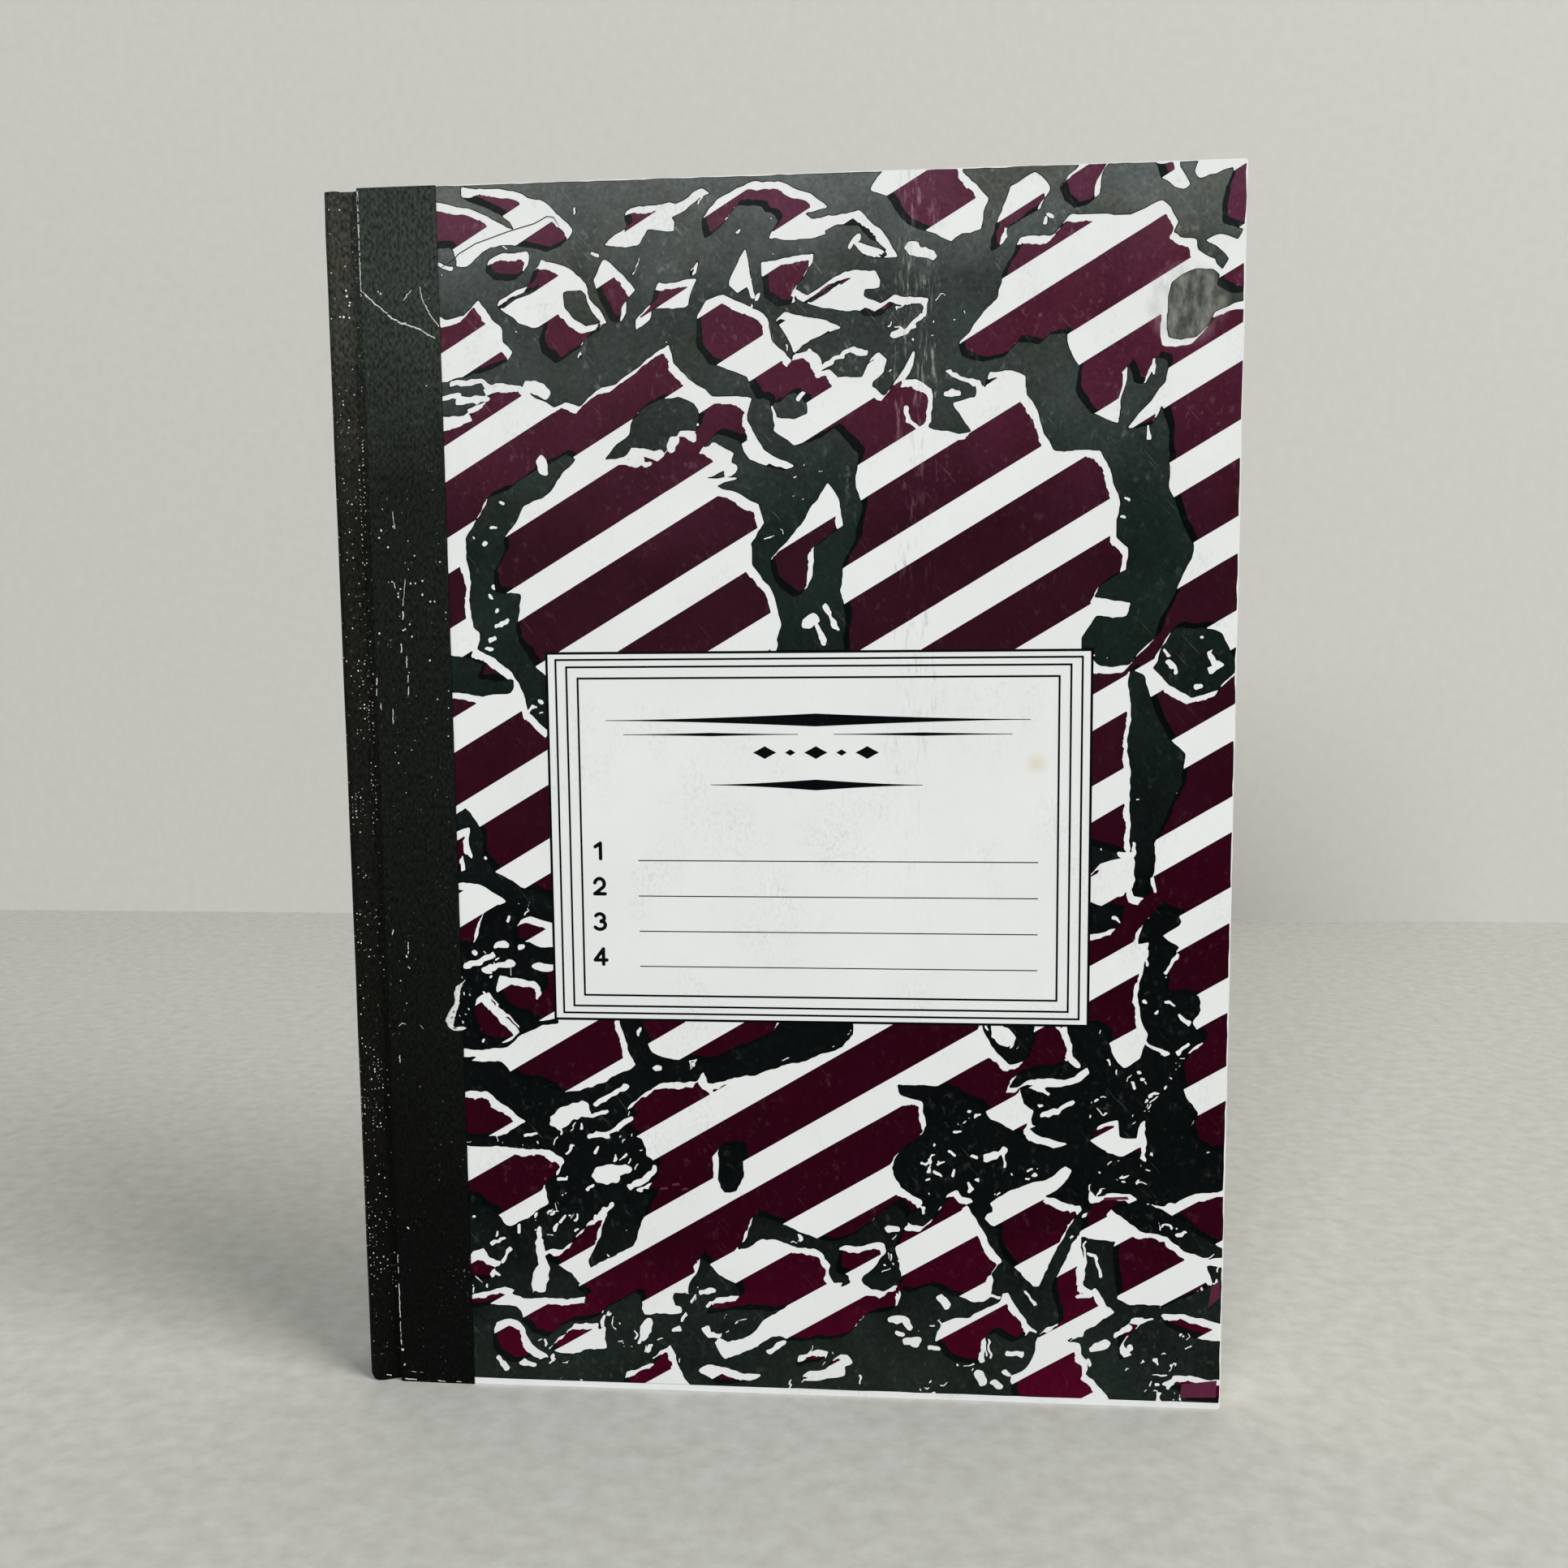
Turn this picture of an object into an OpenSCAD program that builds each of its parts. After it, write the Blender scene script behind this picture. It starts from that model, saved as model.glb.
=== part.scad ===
// Composition notebook: thread-sewn sections in a flush-cut case with a cloth spine strip.
// It stands on its tail edge. X runs from the spine to the fore-edge, the front cover
// faces -Y, and Z runs from the tail to the head. The origin is on the ground, midway.

/* [Leaves] */
// Width of a leaf, from the fold to the fore-edge
leaf_w = 179; // [150:0.5:240]
// Height of the leaves, boards and papers, all cut flush
book_h = 250; // [200:1:340]
// Thickness of all the leaves pressed together
block_t = 10.2; // [6:0.1:30]
// Number of folded sections in the block
section_count = 8; // [4:1:14]
// Thickness of each flyleaf and pastedown
endpaper_t = 0.15; // [0.1:0.01:0.4]

/* [Sewing] */
// Number of sewing stations along the spine
station_count = 5; // [3:1:8]
// Distance of the outermost stations from head and tail
station_inset = 22; // [10:1:40]
// Thickness of the sewing thread
thread_d = 0.4; // [0.2:0.05:0.8]
// Length of the thread that shows along each fold
stitch_l = 9; // [5:0.5:20]
// Thickness of the spine lining
lining_t = 0.2; // [0.1:0.05:0.6]
// Distance of the lining's ends from head and tail
lining_inset = 8; // [0:1:30]

/* [Case] */
// Thickness of the cover boards
board_t = 2; // [1:0.1:3.5]
// Distance from the spine's face to the edge of the boards
joint_w = 7.2; // [6:0.1:12]
// Thickness of the stiff strip inside the spine
inlay_t = 1.2; // [0.6:0.1:2]
// Thickness of the printed paper on the boards
cover_paper_t = 0.18; // [0.1:0.01:0.4]
// Thickness of the spine cloth
cloth_t = 0.3; // [0.2:0.05:0.5]
// Width of the cloth strip on each cover, from the spine's face
strip_w = 23.3; // [18:0.1:50]
// How far the cloth strip laps over the printed paper
strip_lap = 5; // [2:0.5:8]
// Outside radius of the cloth at the spine's shoulders
shoulder_r = 1.4; // [0.8:0.1:2]
// Depth of the groove in front of the board's edge
groove_depth = 1.5; // [0.6:0.1:1.9]
// Radius at the bottom of the groove
groove_r = 0.45; // [0.3:0.05:0.8]
// Outside radius of the cloth over the board's edge
edge_r = 0.6; // [0.55:0.05:1]

/* [Print] */
// Thickness of the printed ink
ink_t = 0.05; // [0.02:0.01:0.1]
// Unprinted margin along the tail
tail_margin = 1.4; // [0:0.1:5]
// Distance from one stripe to the next, square to the stripes
stripe_pitch = 15.74; // [8:0.01:30]
// Width of the white gap between two coloured stripes
stripe_gap = 6.2; // [2:0.1:7]
// Angle of the stripes above the horizontal
stripe_angle = 30.8; // [20:0.1:45]
// Height on the strip's edge at which one coloured stripe ends below
stripe_start = 107.5; // [80:0.1:130]
// How far the white rim beside the marbling is shifted towards the spine
rim_x = 1.3; // [0:0.1:2]
// How far the white rim beside the marbling is shifted towards the tail
rim_z = 1.1; // [0:0.1:2]

/* [Label] */
// Distance of the label panel from the cloth strip
label_from_strip = 19.6; // [10:0.1:30]
// Distance of the label panel from the fore-edge
label_from_edge = 27.8; // [20:0.1:29]
// Height of the label panel
label_h = 76.7; // [60:0.1:100]
// Distance of the label panel from the tail
label_from_tail = 80.8; // [40:0.1:90]
// Thickness of the frame rules
rule_t = 0.4; // [0.2:0.05:0.8]
// Thickness of the writing lines
line_t = 0.2; // [0.1:0.05:0.5]
// Distance between writing lines
line_pitch = 7.4; // [5:0.1:8]
// Number of writing lines
line_count = 4; // [2:1:5]
// Height of the lowest writing line above the panel's lower edge
line_from_base = 11.5; // [9:0.1:14]
// Distance of the writing lines from the panel's spine side
line_from_left = 18.4; // [9:0.1:24]
// Distance of the writing lines from the panel's fore-edge side
line_from_right = 10.5; // [9:0.1:14]
// Distance of the title ornament from the panel's two sides
ornament_from_side = 12.2; // [9:0.1:24]
// Thickness of the swelled rules at their middle
ornament_t = 2.6; // [1:0.1:4]
// Distance of the long swelled rule below the panel's upper edge
ornament_from_top = 14; // [11:0.5:16]
// Distance between the title ornament's three rows
ornament_pitch = 6.6; // [5:0.1:8]
// Number of small lozenges in the title ornament's middle row
lozenge_count = 3; // [1:2:7]
// Width of one small lozenge
lozenge_w = 4.6; // [3:0.1:6]

/* [Hidden] */
// Slack that lets a thread lie on a fold without cutting into it
touch = 0.02;
arc_steps = 5;

// Places along X, from the spine's face inwards
book_w = cloth_t + inlay_t + lining_t + thread_d + 2 * touch + leaf_w;
spine_x = -book_w / 2;
fore_x = book_w / 2;
inlay_x = spine_x + cloth_t;
lining_x = inlay_x + inlay_t;
thread_x = lining_x + lining_t + touch;
block_x = fore_x - leaf_w;
board_x = spine_x + joint_w;
strip_x = spine_x + strip_w;
paper_x = strip_x - strip_lap;

// Depths from the middle plane outwards, the same on both sides
block_y = block_t / 2;
flyleaf_y = block_y + endpaper_t;
pastedown_y = flyleaf_y + endpaper_t;
board_y = pastedown_y + board_t;
paper_y = board_y + cover_paper_t;
cloth_y = board_y + cloth_t;
strip_y = paper_y + cloth_t;

// The groove's centre, and where the cloth bends over the board's edge
groove_x = board_x - cloth_t - groove_r;
groove_y = cloth_y - groove_depth + groove_r;
bend_x = board_x - cloth_t + edge_r;
bend_y = cloth_y - edge_r;
lap_ramp = 4 * cover_paper_t;

// Printed field, and the lengths that come from the label's distances
print_w = fore_x - strip_x;
print_h = book_h - tail_margin;
label_w = print_w - label_from_strip - label_from_edge;
line_l = label_w - line_from_left - line_from_right;
ornament_l = label_w - 2 * ornament_from_side;

// Half a stroke's ragged change of width, as a share of its half width
ragged = 0.28;
stripe_rise = stripe_pitch / cos(stripe_angle);

// Nested frame rules of the label: [in from its sides, in from its head and tail]
FRAME_RULES = [[0, 0], [1.9, 1.4], [4.1, 2.9], [6.4, 5.2]];

// Main strokes of the marbling on the drawing: [from the strip, from the tail, half width]
STROKES = [
    [[-3, 250, 3], [12, 249, 3], [24, 246, 4], [33, 240, 8],
     [38, 230, 9], [43, 221, 7], [50, 213, 5], [58, 207, 3]],
    [[-3, 234, 4], [7, 229, 4], [13, 220, 5], [22, 213, 6], [33, 216, 6], [41, 223, 5]],
    [[50, 214, 3], [50, 224, 5], [53, 234, 5], [61, 239, 4], [74, 236, 4], [87, 238, 5], [98, 247, 5]],
    [[64, 236, 2], [68, 224, 3], [73, 213, 3], [74, 202, 4]],
    [[67, 229, 2], [77, 223, 3], [90, 221, 5], [100, 226, 4]],
    [[96, 253, 6], [98, 240, 9], [101, 228, 8], [99, 216, 6], [94, 206, 3], [98, 198, 2]],
    [[100, 215, 5], [112, 213, 4], [122, 210, 7], [130, 199, 8],
     [137, 186, 8], [141, 173, 8], [137, 162, 5], [129, 157, 3]],
    [[110, 253, 4], [118, 243, 6], [132, 244, 6], [145, 241, 5], [149, 230, 4], [147, 219, 4]],
    [[143, 252, 3], [152, 246, 3], [161, 240, 4]],
    [[141, 166, 4], [137, 152, 3], [141, 138, 4], [143, 126, 5], [140, 112, 3], [143, 100, 2]],
    [[144, 156, 5], [149, 153, 6], [154, 151, 4]],
    [[72, 203, 4], [76, 195, 7], [74, 184, 6], [69, 175, 3], [72, 165, 5], [74, 152, 5]],
    [[77, 194, 4], [82, 186, 3], [81, 175, 3], [79, 163, 4]],
    [[49, 201, 2], [60, 194, 2], [72, 188, 3]],
    [[37, 197, 2], [43, 202, 4], [54, 201, 2]],
    [[25, 197, 2], [17, 190, 3], [9, 181, 4], [7, 168, 4], [11, 157, 4], [17, 146, 2]],
    [[-3, 154, 3], [7, 150, 2]],
    [[-3, 122, 4], [5, 112, 5], [14, 105, 4], [24, 100, 2]],
    [[-3, 95, 3], [9, 96, 2], [24, 95, 3]],
    [[-3, 85, 4], [3, 76, 3], [11, 69, 3], [20, 65, 4], [34, 69, 3], [56, 74, 4], [81, 81, 3]],
    [[6, 64, 2], [14, 57, 4], [25, 55, 4], [38, 55, 4]],
    [[19, 55, 3], [21, 46, 4], [33, 44, 4], [35, 35, 4], [30, 28, 2]],
    [[-3, 39, 4], [9, 34, 6], [18, 25, 7], [24, 14, 5], [32, 10, 5]],
    [[56, 54, 2], [57, 45, 3]],
    [[-3, 6, 5], [12, 2, 3], [30, 5, 5], [50, 7, 7], [66, 5, 4], [80, 10, 3]],
    [[50, 28, 2], [54, 20, 4], [51, 10, 5]],
    [[58, 34, 2], [65, 37, 2], [73, 32, 2], [79, 25, 3], [90, 20, 4]],
    [[92, 69, 2], [99, 62, 4], [103, 53, 8], [110, 43, 5], [114, 30, 3], [124, 15, 2]],
    [[84, 2, 3], [92, 13, 6], [103, 10, 6], [116, 5, 5]],
    [[90, 50, 4], [103, 53, 7], [118, 48, 4], [130, 40, 3], [130, 26, 3]],
    [[128, 86, 3], [131, 74, 6], [136, 64, 8], [138, 52, 5], [148, 45, 4], [161, 46, 3]],
    [[142, 103, 2], [143, 92, 4], [147, 80, 5], [148, 66, 7], [152, 58, 4]],
    [[110, 62, 3], [121, 58, 3], [133, 63, 5]],
    [[130, 36, 2], [143, 36, 3], [154, 29, 3], [161, 22, 3]],
    [[122, 4, 3], [134, 12, 4], [147, 13, 6], [161, 8, 6]]
];
// The field that the strokes are drawn on, which the outermost ones run past
overrun = 3;
drawing_w = max([for (stroke = STROKES) for (p = stroke) p[0]]) - overrun;
drawing_h = max([for (stroke = STROKES) for (p = stroke) p[1]]) - overrun;

function point_on(c, r, a) = [c[0] + r * cos(a), c[1] + r * sin(a)];

function arc(c, r, a0, a1) =
    [for (i = [0 : arc_steps]) point_on(c, r, a0 + (a1 - a0) * i / arc_steps)];

// A curve from p to q that leaves p level and runs into q along the direction given
function slope(p, q, a) =
    let (reach = (q[0] - p[0]) / 2)
    let (h = q - reach * [cos(a), sin(a)])
    [for (i = [1 : arc_steps])
        let (s = i / arc_steps)
        pow(1 - s, 3) * p
            + 3 * pow(1 - s, 2) * s * (p + [reach, 0])
            + 3 * (1 - s) * s * s * h
            + pow(s, 3) * q];

function unit(v) = v / norm(v);

function side_of(path, i) =
    let (before = path[max(i - 1, 0)])
    let (after = path[min(i + 1, len(path) - 1)])
    let (d = unit(after - before))
    [-d[1], d[0]];

// A number between 0 and 1 that looks random but always comes out the same
function chance(k) =
    let (v = sin(k * 78.233) * 43758.5453)
    v - floor(v);

// The cloth from the spine's face over the shoulder and down into the groove, drawn a
// depth below its own face: 0 is the outside and cloth_t is the inside
fall_angle = -20;
function shoulder_line(depth) =
    arc([spine_x + shoulder_r, cloth_y - shoulder_r], shoulder_r - depth, 180, 90);
function spine_line(depth) = concat(
    shoulder_line(depth),
    slope([spine_x + shoulder_r, cloth_y - depth],
        point_on([groove_x, groove_y], groove_r + depth, fall_angle - 90), fall_angle),
    [point_on([groove_x, groove_y], groove_r + depth, -90)]
);

// The cloth from the groove up to the board and over its edge
function wing_line(depth) = concat(
    arc([groove_x, groove_y], groove_r + depth, -90, 0),
    arc([bend_x, bend_y], edge_r - depth, 180, 90)
);

function backwards(list) = [for (i = [len(list) - 1 : -1 : 0]) list[i]];

function other_side(list) = [for (p = list) [p[0], -p[1]]];

module on_front() {
    mirror([0, 1, 0])
        children();
}

module upright(h = book_h) {
    linear_extrude(h)
        children();
}

// A flat layer that reaches from x0 to the fore-edge, between two depths
module sheet(x0, y0, y1) {
    translate([x0, y0, 0])
        cube([fore_x - x0, y1 - y0, book_h]);
}

module text_block() {
    fold_r = block_t / section_count / 2;
    folds = [for (i = [0 : section_count - 1])
        each arc([block_x + fold_r, block_y - fold_r * (2 * i + 1)], fold_r, 90, 270)];
    color("ivory")
        upright()
            polygon(concat(folds, [[fore_x, -block_y], [fore_x, block_y]]));
}

module stitch(z) {
    section_t = block_t / section_count;
    for (i = [0 : section_count - 1])
        translate([thread_x + thread_d / 2, block_y - section_t * (i + 0.5), z - stitch_l / 2])
            cylinder(d = thread_d, h = stitch_l, $fn = 6);
    translate([thread_x + thread_d / 2, (block_t - section_t) / 2, z])
        rotate([90, 0, 0])
            cylinder(d = thread_d, h = block_t - section_t, $fn = 6);
}

module sewing_thread() {
    station_pitch = (book_h - 2 * station_inset) / (station_count - 1);
    color("linen")
        for (i = [0 : station_count - 1])
            stitch(station_inset + i * station_pitch);
}

module spine_lining() {
    color("tan")
        translate([lining_x, -block_y, lining_inset])
            cube([lining_t, block_t, book_h - 2 * lining_inset]);
}

module spine_inlay() {
    under_cloth = spine_line(cloth_t);
    color("gray")
        upright()
            intersection() {
                polygon(concat(under_cloth, other_side(backwards(under_cloth))));
                translate([inlay_x, -board_y])
                    square([inlay_t, 2 * board_y]);
            }
}

module spine_cloth() {
    outside = concat(backwards(spine_line(0)), other_side(spine_line(0)));
    inside = concat(backwards(other_side(spine_line(cloth_t))), spine_line(cloth_t));
    color("darkslategray")
        upright()
            polygon(concat(outside, inside));
}

module flyleaf() {
    color("white")
        sheet(block_x, block_y, flyleaf_y);
}

module board() {
    corner = arc([bend_x, bend_y], edge_r - cloth_t, 180, 90);
    color("gray")
        upright()
            polygon(concat([[board_x, pastedown_y]], corner, [[fore_x, board_y], [fore_x, pastedown_y]]));
}

module cover_paper() {
    color("whitesmoke")
        sheet(paper_x, board_y, paper_y);
}

module cloth_wing() {
    onto_paper = [[paper_x - lap_ramp, cloth_y], [paper_x, strip_y], [strip_x, strip_y]];
    under_it = [[strip_x, paper_y], [paper_x, paper_y], [paper_x, board_y]];
    color("darkslategray")
        upright()
            polygon(concat(wing_line(0), onto_paper, under_it, backwards(wing_line(cloth_t))));
}

module pastedown() {
    color("white")
        sheet(board_x, flyleaf_y, pastedown_y);
}

// Printed shapes are drawn as seen on the front, from the strip's edge and the tail
module printed(turned = false) {
    turn = turned ? 1 : 0;
    translate([strip_x, paper_y + ink_t, tail_margin])
        rotate([90, 0, 0])
            linear_extrude(ink_t)
                translate([0, turn * print_h])
                    mirror([0, turn])
                        children();
}

module print_field() {
    square([print_w, print_h]);
}

function stroke_side(stroke, seed, side) =
    let (line = [for (p = stroke) [p[0] * print_w / drawing_w, p[1] * print_h / drawing_h]])
    [for (i = [0 : len(line) - 1])
        let (w = stroke[i][2] * (1 + ragged * (2 * chance(seed + 7 * i + side) - 1)))
        line[i] + side * w * side_of(line, i)];

module stroke(k) {
    polygon(concat(stroke_side(STROKES[k], 31 * k, 1), backwards(stroke_side(STROKES[k], 31 * k, -1))));
}

module marbling_shape() {
    for (k = [0 : len(STROKES) - 1])
        stroke(k);
}

module label_place() {
    translate([label_from_strip, label_from_tail - tail_margin])
        children();
}

module label_panel() {
    label_place()
        square([label_w, label_h]);
}

module stripes(turned = false) {
    over = print_w * tan(stripe_angle);
    first = -ceil((over + stripe_start) / stripe_rise);
    last = ceil((print_h - stripe_start) / stripe_rise);
    color("maroon")
        printed(turned)
            difference() {
                intersection() {
                    print_field();
                    for (i = [first : last])
                        translate([0, stripe_start - tail_margin + i * stripe_rise])
                            rotate(stripe_angle)
                                translate([-book_w, 0])
                                    square([3 * book_w, stripe_pitch - stripe_gap]);
                }
                marbling_shape();
                translate([-rim_x, -rim_z])
                    marbling_shape();
                if (!turned)
                    label_panel();
            }
}

module marbling(turned = false) {
    color("darkslategray")
        printed(turned)
            difference() {
                intersection() {
                    print_field();
                    marbling_shape();
                }
                if (!turned)
                    label_panel();
            }
}

module frame_panel(inset) {
    translate(inset)
        square([label_w, label_h] - 2 * inset);
}

module frame_rule(inset) {
    difference() {
        frame_panel(inset);
        frame_panel(inset + [rule_t, rule_t]);
    }
}

module swelled_rule(l, t) {
    polygon([[-l / 2, 0], [0, t / 2], [l / 2, 0], [0, -t / 2]]);
}

// Printer's ornament in place of a title: two swelled rules with lozenges between them
module title_ornament() {
    swelled_rule(ornament_l, ornament_t);
    for (i = [0 : lozenge_count - 1])
        translate([(i - (lozenge_count - 1) / 2) * lozenge_w * 1.5, -ornament_pitch])
            swelled_rule(lozenge_w, ornament_t);
    translate([0, -2 * ornament_pitch])
        swelled_rule(ornament_l / 2, ornament_t);
}

module label_rules() {
    color("black")
        printed()
            label_place() {
                for (inset = FRAME_RULES)
                    frame_rule(inset);
                for (i = [0 : line_count - 1])
                    translate([line_from_left, line_from_base + i * line_pitch])
                        square([line_l, line_t]);
                translate([label_w / 2, label_h - ornament_from_top])
                    title_ornament();
            }
}

text_block();
sewing_thread();
spine_lining();
spine_inlay();
spine_cloth();
on_front() flyleaf();  // front_flyleaf
flyleaf();  // back_flyleaf
on_front() board();  // front_board
on_front() cover_paper();  // front_cover_paper
on_front() cloth_wing();  // front_cloth_wing
on_front() pastedown();  // front_pastedown
on_front() stripes();  // front_stripes
on_front() marbling();  // front_marbling
on_front() label_rules();  // front_label_rules
board();  // back_board
cover_paper();  // back_cover_paper
cloth_wing();  // back_cloth_wing
pastedown();  // back_pastedown
stripes(true);  // back_stripes
marbling(true);  // back_marbling
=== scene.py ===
"""Looks of the composition notebook: marbled print over stripes, book cloth, boards and sewn leaves.

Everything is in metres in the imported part's own frame. Sizes named here are in millimetres
and go through MM. The notebook stands on its tail edge with the front cover towards -Y.
"""

import math

import bmesh
import bpy
import numpy as np
from mathutils import Matrix, Vector
from mathutils.geometry import delaunay_2d_cdt


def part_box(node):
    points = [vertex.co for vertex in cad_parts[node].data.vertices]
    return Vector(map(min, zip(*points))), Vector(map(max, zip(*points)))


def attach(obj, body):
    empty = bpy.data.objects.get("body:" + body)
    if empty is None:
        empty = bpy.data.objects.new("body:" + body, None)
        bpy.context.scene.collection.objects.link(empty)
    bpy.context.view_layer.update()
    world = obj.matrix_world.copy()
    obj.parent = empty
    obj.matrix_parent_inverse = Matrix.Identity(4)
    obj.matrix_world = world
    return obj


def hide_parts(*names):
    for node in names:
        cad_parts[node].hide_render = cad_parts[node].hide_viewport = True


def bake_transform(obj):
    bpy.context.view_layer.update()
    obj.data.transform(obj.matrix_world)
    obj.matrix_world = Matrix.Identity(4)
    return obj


MM = 0.001
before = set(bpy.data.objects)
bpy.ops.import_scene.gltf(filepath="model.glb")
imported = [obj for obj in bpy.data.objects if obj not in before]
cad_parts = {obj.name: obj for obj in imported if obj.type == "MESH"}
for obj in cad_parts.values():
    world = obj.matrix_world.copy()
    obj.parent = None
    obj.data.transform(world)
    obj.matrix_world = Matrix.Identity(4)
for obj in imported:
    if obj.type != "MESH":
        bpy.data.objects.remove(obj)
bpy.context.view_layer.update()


def span(node):
    """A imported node's lowest and highest corner, in millimetres."""
    return [[c / MM for c in corner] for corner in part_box(node)]


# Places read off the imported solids, so that every piece lies where the part has it
SPINE_X = span("spine_cloth")[0][0]
FORE_X = span("front_board")[1][0]
HEIGHT = span("front_board")[1][2]
BOARD_X = span("front_board")[0][0]
BOARD_Y = span("back_board")[1][1]
PASTEDOWN_Y = span("back_pastedown")[1][1]
FLYLEAF_Y = span("back_flyleaf")[1][1]
BLOCK_Y = span("text_block")[1][1]
BLOCK_X = span("text_block")[0][0]
PAPER_X = span("back_cover_paper")[0][0]
PAPER_Y = span("back_cover_paper")[1][1]
STRIP_X = span("back_cloth_wing")[1][0]
STRIP_Y = span("back_cloth_wing")[1][1]
TAIL_MARGIN = span("back_stripes")[0][2]
PRINT_W = FORE_X - STRIP_X
PRINT_H = HEIGHT - TAIL_MARGIN
LABEL_LOW, LABEL_HIGH = span("front_label_rules")

# Sizes of the binding, as in the part's source
CLOTH_T = 0.3
SHOULDER_R = 1.4
GROOVE_DEPTH = 1.5
GROOVE_R = 0.45
EDGE_R = 0.6
FALL_ANGLE = -20
SECTIONS = 8
SHEETS_A_SECTION = 8
STRIPE_PITCH = 15.74
STRIPE_GAP = 6.2
STRIPE_ANGLE = math.radians(30.8)
STRIPE_START = 107.5
# White rim beside the marbling and near-black shadow on its other side: how far each reaches, across and up
RIM = (1.0, 1.35)
SHADOW = (-1.0, -0.95)

# Place of the label on the printed field
LABEL_U0, LABEL_U1 = LABEL_LOW[0] - STRIP_X, LABEL_HIGH[0] - STRIP_X
LABEL_V0, LABEL_V1 = LABEL_LOW[2] - TAIL_MARGIN, LABEL_HIGH[2] - TAIL_MARGIN

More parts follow.
